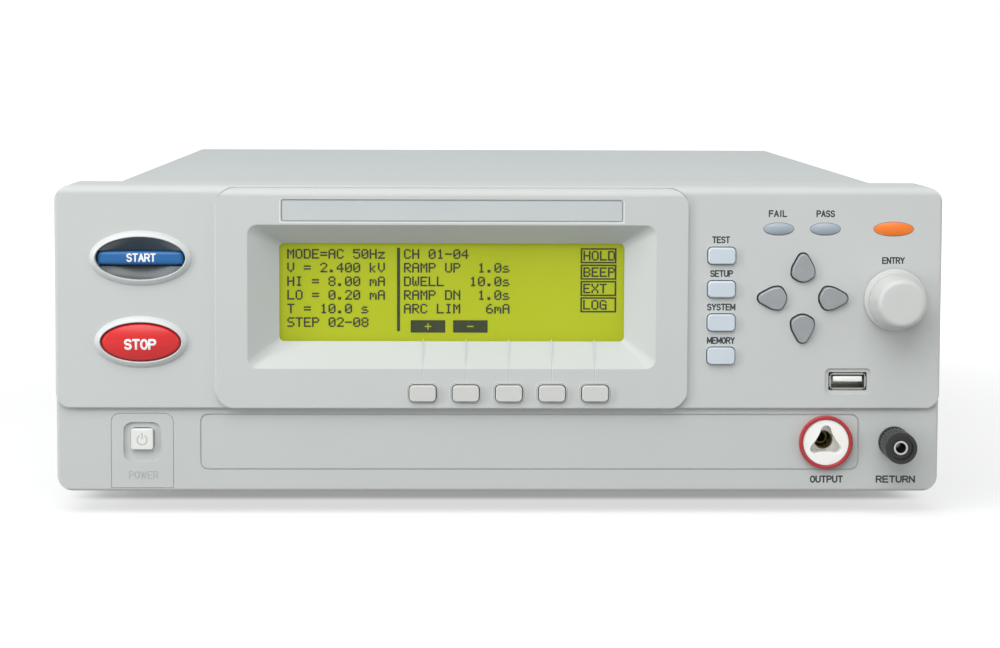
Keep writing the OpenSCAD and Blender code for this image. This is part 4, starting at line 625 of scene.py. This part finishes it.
# Place across, width and height of each lens
LAMPS = {"fail": (107, 11.5, 4.4, lens_grey), "pass": (124.9, 11.5, 4.4, lens_grey),
         "output": (151.2, 15.2, 5.2, lens_orange)}
SHADE_RING_OUT = 0.1
for name, sizes in LAMPS.items():
    lamp(f"{name}_lens", f"{name}_lamp", *sizes)
# Painted shade: a dark ring drawn on the fascia in the gap round each lens
for k, (x, width, height, lens) in enumerate(LAMPS.values()):
    outline = arc(x, LAMP_Z, width / 2 + SHADE_RING_OUT, height / 2 + SHADE_RING_OUT, 0, 360, 48)
    drawn(f"lamp_seam_{k + 1}", [outline], level(FASCIA_Y), "chassis", lamp_gap_shade, 0.26, 0.03)


# Knob, keys and buttons

KNURLS = 84


def knurled(x, z, radius, y, depth, count):
    """A ring whose radius rises and falls count times."""
    steps = 2 * count
    return [panel(x + (radius - depth * (k % 2)) * math.cos(2 * math.pi * k / steps), y,
                  z + (radius - depth * (k % 2)) * math.sin(2 * math.pi * k / steps)) for k in range(steps)]


knob = bmesh.new()
knob_rings = [knurled(*KNOB, r, y, 0, KNURLS) for r, y in
              [(3.1, -14.4), (3.1, -4.5), (7.8, -4.5), (7.8, -2.4), (11.7, -2.4), (11.9, -2.6), (11.9, -3.6),
               (11.78, -3.86), (11.5, -4.0), (10.95, -4.02), (10.72, -4.1)]]
knob_rings += [knurled(*KNOB, 10.7, y, d, KNURLS) for y, d in [(-4.3, 0), (-4.6, 0.3), (-9.4, 0.3), (-9.8, 0)]]
knob_rings += [knurled(*KNOB, r, y, 0, KNURLS) for r, y in [
    (10.68, -10.1), (10.5, -11.6), (10.3, -13), (9.9, -15.7), (9.5, -17.6), (9.3, -18.3), (9.0, -19.0),
    (8.6, -19.5), (8.1, -19.82), (7.5, -19.96), (6.8, -20), (3, -20)]]
skin_rings(knob, knob_rings)
stand_in("knurled_knob", shaded("knurled_knob", knob, knob_white, 28), "entry_knob")

for i in range(5):
    stand_in(f"soft_cap_{i + 1}", softened(f"softkey_{i + 1}", 0.6), f"softkey_{i + 1}")
for name in ("test", "setup", "system", "memory"):
    stand_in(f"{name}_cap", softened(f"{name}_key", 0.75), f"{name}_key")
# A cursor cap sits a little low and right in its hole, so that the gap shows more on the left
CAP_SHRINK = 0.965
CAP_SHIFT = (0.1, -0.08)
for name, (u, w) in ARROWS.items():
    cap = softened(f"{name}_key", 0.7)
    middle = panel(ARROW_CROSS[0] + ARROW_REACH * u, 0, ARROW_CROSS[1] + ARROW_REACH * w)
    for v in cap.vertices:
        if v.co.y < middle.y + 0.5 * MM:
            v.co.x = middle.x + (v.co.x - middle.x) * CAP_SHRINK + CAP_SHIFT[0] * MM
            v.co.z = middle.z + (v.co.z - middle.z) * CAP_SHRINK + CAP_SHIFT[1] * MM
    stand_in(f"{name}_cap", cap, f"{name}_key")
stand_in("power_cap", softened("power_button", 0.7), "power_button")


def window_brink(a, b):
    """The front edge of the window's slope."""
    middle = ((a + b) / 2 - panel(DISPLAY_X, SURROUND_Y, WINDOW_Z)) / MM
    return abs(middle.y) < 0.05 and abs(a.y - b.y) < 0.05 * MM and (
        abs(abs(middle.x) - WINDOW[0] / 2) < 4 or abs(abs(middle.z) - WINDOW[1] / 2) < 4) and (
        abs(middle.x) < WINDOW[0] / 2 + 0.2 and abs(middle.z) < WINDOW[1] / 2 + 0.2)


stand_in("surround_soft", softened("display_surround", 0.3, 30, window_brink, 1.3), "display_surround")
stand_in("socket_ring", softened("output_ring", 0.35), "output_ring")
stand_in("socket_core", softened("output_insulator", 0.3), "output_insulator")
stand_in("post_cap", softened("return_cap", 0.25, 40), "return_cap")

# Names beside the function keys, over the lamps and by the terminals
WORDS = [("test_word", "TEST", FKEY_X - 0.3, 97.6, 6.9), ("setup_word", "SETUP", FKEY_X, 84.6, 8.9),
         ("system_word", "SYSTEM", FKEY_X, 71.7, 11.0), ("memory_word", "MEMORY", FKEY_X, 58.8, 10.8),
         ("fail_word", "FAIL", 106.7, 107.7, 7.3), ("pass_word", "PASS", 125, 107.7, 7.2),
         ("entry_word", "ENTRY", 151.3, 89.75, 8.8)]
for name, words, x, z, width in WORDS:
    lettering(name, words, x, z, width, 2.7, level(FASCIA_Y), "chassis", ink_dark, 0.54)
lettering("output_word", "OUTPUT", 126.9, 4.65, 12.9, 2.9, level(0), "chassis", ink_dark, 0.6)
lettering("return_word", "RETURN", 153.7, 4.65, 15.3, 2.9, level(0), "chassis", ink_dark, 0.6)
lettering("power_word", "POWER", -136.8, 6.3, 11.3, 3.1, level(0), "chassis", relief_shade_grey, 0.42,
          0.12)
drawn("power_mark", [[(LEFT_X + u, POWER_Z + v) for u, v in line] for line in
                     (arc(0, -0.2, 1.9, 1.9, 125, 415, 16), [(0, 0.2), (0, 2.4)])],
      level(-POWER_PROUD), "power", relief_shade_grey, 0.4, 0.06)


# Display

LCD_LEFT, LCD_TOP = -81.8, 93.5
# Five columns a letter, each column's seven dots as bits from the top
GLYPHS = {
    "A": "7e0909097e", "B": "7f49494936", "C": "3e41414122", "D": "7f4141413e", "E": "7f49494941",
    "G": "3e4149497a", "H": "7f0808087f", "I": "00417f4100", "L": "7f40404040", "M": "7f020c027f",
    "N": "7f0204087f", "O": "3e4141413e", "P": "7f09090906", "R": "7f09192946", "S": "4649494931",
    "T": "01017f0101", "U": "3f4040403f", "V": "1f2040201f", "W": "3f4038403f", "X": "6314081463",
    "k": "7f10284400", "m": "7c04180478", "z": "4464544c44", "s": "4854545420", "0": "3e5149453e",
    "1": "00427f4000", "2": "4261514946", "4": "1814127f10", "5": "2745454539", "6": "3c4a494930",
    "8": "3649494936", ".": "0060600000", "-": "0808080808", "=": "1414141414",
}
dots = set()


def write_dots(words, col, row):
    for i, letter in enumerate(words):
        bits = GLYPHS.get(letter, "0000000000")
        for c in range(5):
            value = int(bits[2 * c:2 * c + 2], 16)
            dots.update((col + 6 * i + c, row + r) for r in range(7) if value >> r & 1)


for k, (left, right) in enumerate([("MODE=AC 50Hz", "CH 01-04"), ("V = 2.400 kV", "RAMP UP  1.0s"),
                                   ("HI = 8.00 mA", "DWELL   10.0s"), ("LO = 0.20 mA", "RAMP DN  1.0s"),
                                   ("T = 10.0 s", "ARC LIM   6mA"), ("STEP 02-08", "")]):
    write_dots(left, 0, 1 + 10 * k)
    write_dots(right, 85, 1 + 10 * k)
dots.update((col, row) for col in (80, 81) for row in range(61))
for k, words in enumerate(["HOLD", "BEEP", "EXT", "LOG"]):
    left, top = 214, 12 * k
    dots.update((left + c, top + r) for c in range(26) for r in range(11) if c in (0, 25) or r in (0, 10))
    write_dots(words, left + 2, top + 2)


def tab(left, top, sign):
    """A dark tab with a sign left clear in it, five dots square."""
    clear = {(left + 10 + c, top + 2 + r) for c in range(5) for r in range(5) if r == 2 or (sign == "+" and c == 2)}
    dots.update({(left + c, top + r) for c in range(25) for r in range(9)} - clear)


tab(90, 53, "+")
tab(121, 53, "-")


def dot_field(name, cells, material):
    """One small block at every lit dot, set by Geometry Nodes with the dot size as its input."""
    mesh = bpy.data.meshes.new(name)
    mesh.from_pydata([panel(LCD_LEFT + (c + 0.5) * PITCH, LCD_Y - 0.03 - 0.004 * (c % 2 + 2 * (r % 2)),
                            LCD_TOP - (r + 0.5) * PITCH)
                      for c, r in sorted(cells)], [], [])
    obj = bpy.data.objects.new(name, mesh)
    bpy.context.scene.collection.objects.link(obj)
    tree = bpy.data.node_groups.new("lit_dots", "GeometryNodeTree")
    tree.interface.new_socket("Dots", in_out="INPUT", socket_type="NodeSocketGeometry")
    size = tree.interface.new_socket("Dot Size", in_out="INPUT", socket_type="NodeSocketVector")
    tree.interface.new_socket("Blocks", in_out="OUTPUT", socket_type="NodeSocketGeometry")
    given = add(tree, "NodeGroupInput")
    block = add(tree, "GeometryNodeMeshCube", {"Size": given.outputs["Dot Size"]})
    placed = add(tree, "GeometryNodeInstanceOnPoints", {
        "Points": given.outputs["Dots"], "Instance": block.outputs["Mesh"]})
    solid = add(tree, "GeometryNodeRealizeInstances", {"Geometry": placed.outputs[0]})
    inked = add(tree, "GeometryNodeSetMaterial", {"Geometry": solid.outputs[0], "Material": material})
    add(tree, "NodeGroupOutput", {"Blocks": inked.outputs[0]})
    field = obj.modifiers.new("dots", "NODES")
    field.node_group = tree
    field[size.identifier] = (0.68 * MM, 0.05 * MM, 0.62 * MM)
    made = bpy.data.meshes.new_from_object(obj.evaluated_get(bpy.context.evaluated_depsgraph_get()))
    bpy.data.objects.remove(obj)
    return made


piece("lcd_dots", dot_field("lcd_dots", dots, lcd_ink), "chassis")

# Guide grooves from the display's edge down the window's slope to each display key, and a frame round the key, each
# drawn as a painted shade line beside a painted highlight line
WINDOW_LOW = 47.9
GLASS_LOW = GLASS_Z - GLASS[1] / 2


def guide(bm, x, width, lift):
    path = [(LENS_Y - 0.2, GLASS_LOW - 0.25), (SURROUND_Y, WINDOW_LOW), (SURROUND_Y, 43.4)]
    rings = []
    for k, (y, z) in enumerate(path):
        dy, dz = (-lift, lift * 0.7) if k < 2 else (-lift, 0)
        rings.append([panel(x - width / 2, y + dy, z + dz), panel(x + width / 2, y + dy, z + dz),
                      panel(x + width / 2, y + 0.1, z - 0.05), panel(x - width / 2, y + 0.1, z - 0.05)])
    skin_rings(bm, rings)


dark_lines, light_lines = bmesh.new(), bmesh.new()
for x in SOFTKEY_X:
    guide(dark_lines, x - 0.1, 0.15, 0.04)
    guide(light_lines, x + 0.07, 0.17, 0.04)
    frame_line(dark_lines, x, SOFTKEY_Z, 6.1, 4.15, 2.5, 0.18, SURROUND_Y)
    frame_line(light_lines, x, SOFTKEY_Z, 6.28, 4.33, 2.68, 0.18, SURROUND_Y)
piece("key_guides", shaded("key_guides", dark_lines, gap_shadow), "chassis")
piece("key_guides_lip", shaded("key_guides_lip", light_lines, groove_light), "chassis")

# Painted shade round the label strip, and a painted highlight along its lower and side edges
strip = bmesh.new()
frame_line(strip, *LABEL, LABEL_HALF[0], LABEL_HALF[1], 0.6, 0.3, -3.0)
piece("label_edge", shaded("label_edge", strip, gap_shadow), "chassis")
lit = bmesh.new()
for a, b in (((-0.75, 0.4), (-0.35, -0.75)), ((0.35, 0.4), (0.75, -0.75))):
    side = LABEL_HALF[0] if b[0] > 0 else -LABEL_HALF[0]
    box_at(lit, (LABEL[0] + side + a[0], SURROUND_Y - 0.03, LABEL[1] - LABEL_HALF[1] + b[1]),
           (LABEL[0] + side + b[0], SURROUND_Y + 0.06, LABEL[1] + LABEL_HALF[1] - a[1]))
box_at(lit, (LABEL[0] - LABEL_HALF[0] - 0.35, SURROUND_Y - 0.03, LABEL[1] - LABEL_HALF[1] - 0.75),
       (LABEL[0] + LABEL_HALF[0] + 0.35, SURROUND_Y + 0.06, LABEL[1] - LABEL_HALF[1] - 0.35))
piece("label_lip", shaded("label_lip", lit, groove_light), "chassis")
drawn("lip_seam", [[(DISPLAY_X - 82.9, 117.23), (DISPLAY_X + 82.9, 117.23)]], level(0), "chassis",
      abs_grey, 0.4, 0.52)


# Data socket

TONGUE_Z = USB[1] + 0.85
lining = bmesh.new()
skin_rings(lining, [soft_ring(USB[0], TONGUE_Z, 5.6 - i, 1.02 - i, 0.2, y, 4)
                    for i, y in ((0, 11.8), (0, -0.5), (0.06, -0.62), (0.2, -0.7))])
piece("socket_tongue", shaded("socket_tongue", lining, ptfe_white), "chassis")
strips = bmesh.new()
for x in (-3.5, -1.0, 1.0, 3.5):
    box_at(strips, (USB[0] + x - 0.5, -0.3, TONGUE_Z - 1.16), (USB[0] + x + 0.5, 11, TONGUE_Z - 0.9))
piece("socket_strips", shaded("socket_strips", strips, brass), "chassis")


# Sleeves of painted shade inside the two terminals

def sleeve(name, place, outer, inner, front, back, body, material):
    bm = bmesh.new()
    skin_rings(bm, [oval_ring(*place, outer, outer, front, 48), oval_ring(*place, inner, inner, front, 48),
                    oval_ring(*place, inner, inner, back, 48), oval_ring(*place, outer, outer, back, 48)],
               loop=True)
    piece(name, shaded(name, bm, material), body)


sleeve("output_sleeve", SOCKET, 3.66, 3.45, 6.45, 13.7, "chassis", olive_bore_shade)
sleeve("post_bore", RETURN, 1.98, 1.86, -15.3, -3.2, "chassis", bore_shade_black)


# Case screws: pan heads with a cross recess, on every screw of the part

SCREW_HEAD_H = 2.0


def screw_seats():
    """The middle of each screw head's under side, and the way it faces, read from the part's own screws."""
    bm = bmesh.new()
    bm.from_mesh(frame["nodes"]["case_screws"].data)
    bmesh.ops.remove_doubles(bm, verts=bm.verts, dist=2e-6)
    left, seats = set(bm.verts), []
    while left:
        grown, front = set(), [left.pop()]
        while front:
            v = front.pop()
            grown.add(v)
            for edge in v.link_edges:
                other = edge.other_vert(v)
                if other in left:
                    left.discard(other)
                    front.append(other)
        places = [v.co for v in grown]
        low = Vector([min(p[i] for p in places) for i in range(3)])
        high = Vector([max(p[i] for p in places) for i in range(3)])
        size = high - low
        axis = min(range(3), key=lambda i: abs(size[(i + 1) % 3] - size[(i + 2) % 3]))
        outward = Vector([0, 0, 0])
        outward[axis] = 1 if low[axis] + high[axis] > (0 if axis == 0 else 0.2) else -1
        seat = (low + high) / 2
        seat[axis] = (high if outward[axis] > 0 else low)[axis] - outward[axis] * SCREW_HEAD_H * MM
        seats.append((seat, outward, size[(axis + 1) % 3]))
    bm.free()
    return seats


def pan_head():
    """A pan head 1 mm across and 0.3 high, with its seat at z 0 and a cross recess, to be scaled."""
    bm = bmesh.new()
    rings = []
    for r, z in [(0.5, -0.02), (0.5, 0.12), (0.485, 0.19), (0.44, 0.25), (0.36, 0.29), (0.2, 0.305)]:
        rings.append([Vector((r * math.cos(t), r * math.sin(t), z))
                      for t in (2 * math.pi * k / 32 for k in range(32))])
    skin_rings(bm, rings)
    blades = []
    for size in ((0.56, 0.11, 0.4), (0.11, 0.56, 0.4)):
        blades.append(bmesh.new())
        for v in bmesh.ops.create_cube(blades[-1], size=1)["verts"]:
            v.co = Vector((v.co.x * size[0], v.co.y * size[1], v.co.z * size[2] + 0.35))
    return cut_away(shaded("pan_head", bm, nickel), *blades)


def screw_field(seats):
    """Pan heads on all the seats, each turned to face outwards."""
    head = bpy.data.objects.new("pan_head", pan_head())
    bpy.context.scene.collection.objects.link(head)
    mesh = bpy.data.meshes.new("screw_seats")
    mesh.from_pydata([seat for seat, outward, width in seats], [], [])
    mesh.attributes.new("outward", "FLOAT_VECTOR", "POINT").data.foreach_set(
        "vector", [c for seat, outward, width in seats for c in outward])
    mesh.attributes.new("width", "FLOAT", "POINT").data.foreach_set("value", [width for _, _, width in seats])
    obj = bpy.data.objects.new("screw_seats", mesh)
    bpy.context.scene.collection.objects.link(obj)
    tree = bpy.data.node_groups.new("screws_on_seats", "GeometryNodeTree")
    tree.interface.new_socket("Seats", in_out="INPUT", socket_type="NodeSocketGeometry")
    part = tree.interface.new_socket("Screw Head", in_out="INPUT", socket_type="NodeSocketObject")
    grow = tree.interface.new_socket("Head Size", in_out="INPUT", socket_type="NodeSocketFloat")
    tree.interface.new_socket("Screws", in_out="OUTPUT", socket_type="NodeSocketGeometry")
    given = add(tree, "NodeGroupInput")
    shape = add(tree, "GeometryNodeObjectInfo", {"Object": given.outputs["Screw Head"]})
    way = add(tree, "GeometryNodeInputNamedAttribute", {"Name": "outward"}, data_type="FLOAT_VECTOR")
    across = add(tree, "GeometryNodeInputNamedAttribute", {"Name": "width"}, data_type="FLOAT")
    turned = add(tree, "FunctionNodeAlignRotationToVector", {"Vector": way.outputs["Attribute"]}, axis="Z")
    size = add(tree, "ShaderNodeMath", {0: across.outputs["Attribute"], 1: given.outputs["Head Size"]},
               operation="MULTIPLY")
    placed = add(tree, "GeometryNodeInstanceOnPoints", {
        "Points": given.outputs["Seats"], "Instance": shape.outputs["Geometry"],
        "Rotation": turned.outputs[0], "Scale": size.outputs[0]})
    solid = add(tree, "GeometryNodeRealizeInstances", {"Geometry": placed.outputs[0]})
    plated = add(tree, "GeometryNodeSetMaterial", {"Geometry": solid.outputs[0], "Material": nickel})
    add(tree, "NodeGroupOutput", {"Screws": plated.outputs[0]})
    field = obj.modifiers.new("screws", "NODES")
    field.node_group = tree
    field[part.identifier] = head
    field[grow.identifier] = 0.98
    made = bpy.data.meshes.new_from_object(obj.evaluated_get(bpy.context.evaluated_depsgraph_get()))
    bpy.data.objects.remove(obj)
    bpy.data.objects.remove(head)
    return made


stand_in("case_screw_heads", screw_field(screw_seats()), "case_screws")


# Floor, light and camera

def seen_directly(tree, strength):
    """strength for rays from the camera or a reflection, none for the light that falls on the object."""
    path = add(tree, "ShaderNodeLightPath")
    rays = path.outputs["Is Camera Ray"]
    for kind in ("Is Glossy Ray", "Is Transmission Ray"):
        rays = add(tree, "ShaderNodeMath", {0: rays, 1: path.outputs[kind]}, operation="MAXIMUM").outputs[0]
    return add(tree, "ShaderNodeMath", {0: rays, 1: strength}, operation="MULTIPLY").outputs[0]


bm = bmesh.new()
bmesh.ops.create_grid(bm, x_segments=1, y_segments=1, size=6)
floor_mesh = bpy.data.meshes.new("floor")
bm.to_mesh(floor_mesh)
bm.free()
floor = bpy.data.objects.new("floor", floor_mesh)
bpy.context.scene.collection.objects.link(floor)
floor.location.z = -0.0003
paper, tree, out, place = blank("white_paper_floor")
tone = mottled(tree, place, "#a4a4a4", "#a8a8a8", 400)
matt = add(tree, "ShaderNodeBsdfDiffuse", {"Color": tone})
# The sheet keeps the object's shadow near it and goes to plain white further out
reach = add(tree, "ShaderNodeVectorMath", {0: place}, operation="LENGTH").outputs["Value"]
lift = add(tree, "ShaderNodeMapRange", {"Value": reach, "From Min": 0.22, "From Max": 0.8, "To Min": 0.64,
                                        "To Max": 1.0}, interpolation_type="SMOOTHSTEP").outputs[0]
# Painted shade: the sheet's glow is taken down under the case, so it reads dark there
far = add(tree, "ShaderNodeSeparateXYZ", {0: place}).outputs
side = add(tree, "ShaderNodeMath", {0: far["X"]}, operation="ABSOLUTE").outputs[0]
under = [add(tree, "ShaderNodeMapRange", {"Value": value, "From Min": low, "From Max": high},
             interpolation_type="SMOOTHSTEP").outputs[0]
         for value, low, high in ((side, 0.175, 0.155), (far["Y"], -0.17, -0.157), (far["Y"], 0.22, 0.19))]
under_case_shade = add(tree, "ShaderNodeMath", {0: under[0], 1: under[1]}, operation="MULTIPLY").outputs[0]
under_case_shade = add(tree, "ShaderNodeMath", {0: under_case_shade, 1: under[2]}, operation="MULTIPLY").outputs[0]
under_case_shade = add(tree, "ShaderNodeMath", {0: under_case_shade, 1: 0.36}, operation="MULTIPLY").outputs[0]
lift = add(tree, "ShaderNodeMath", {0: lift, 1: under_case_shade}, operation="SUBTRACT").outputs[0]
glow = add(tree, "ShaderNodeEmission", {"Color": linear("#ffffff"), "Strength": seen_directly(tree, lift)})
tree.links.new(add(tree, "ShaderNodeAddShader", {0: matt.outputs[0], 1: glow.outputs[0]}).outputs[0],
               out.inputs["Surface"])
floor_mesh.materials.append(paper)


def soft_light(name, place, aim, size, watts):
    lamp_data = bpy.data.lights.new(name, "AREA")
    lamp_data.shape, lamp_data.size, lamp_data.size_y, lamp_data.energy = "RECTANGLE", *size, watts
    obj = bpy.data.objects.new(name, lamp_data)
    bpy.context.scene.collection.objects.link(obj)
    obj.location = place
    obj.rotation_euler = (Vector(aim) - Vector(place)).to_track_quat("-Z", "Y").to_euler()


soft_light("upper_left_softbox", (-0.37, -1.25, 1.45), (0, -0.18, 0.06), (2.0, 1.5), 29.5)
soft_light("left_strip", (-1.5, -0.9, 0.4), (0, -0.18, 0.06), (0.3, 1.0), 10.5)
soft_light("right_fill", (1.5, -0.9, 0.5), (0, -0.18, 0.06), (0.5, 1.0), 4)

world = bpy.data.worlds.new("studio")
bpy.context.scene.world = world
world.use_nodes = True
tree = world.node_tree
tree.nodes.clear()
fill = add(tree, "ShaderNodeBackground", {"Color": linear("#f4f6f8"), "Strength": 0.41})
white = add(tree, "ShaderNodeBackground", {"Color": linear("#ffffff"), "Strength": 1.0})
both = add(tree, "ShaderNodeMixShader", {0: seen_directly(tree, 1.0), 1: fill.outputs[0], 2: white.outputs[0]})
add(tree, "ShaderNodeOutputWorld", {"Surface": both.outputs[0]})

camera = bpy.data.cameras.new("camera")
camera.lens, camera.sensor_width, camera.shift_y = 93.6, 36, -0.06
holder = bpy.data.objects.new("camera", camera)
bpy.context.scene.collection.objects.link(holder)
bpy.context.scene.camera = holder
holder.location = (-0.0207, -1.1945, 0.1777)
yaw, pitch, roll = 0.021, 0.081, 0.0036
forward = Vector((math.sin(yaw) * math.cos(pitch), math.cos(yaw) * math.cos(pitch), -math.sin(pitch)))
turn = forward.to_track_quat("-Z", "Y").to_matrix() @ Matrix.Rotation(roll, 3, "Z")
holder.rotation_euler = turn.to_euler()

bpy.context.scene.view_settings.view_transform = "Standard"
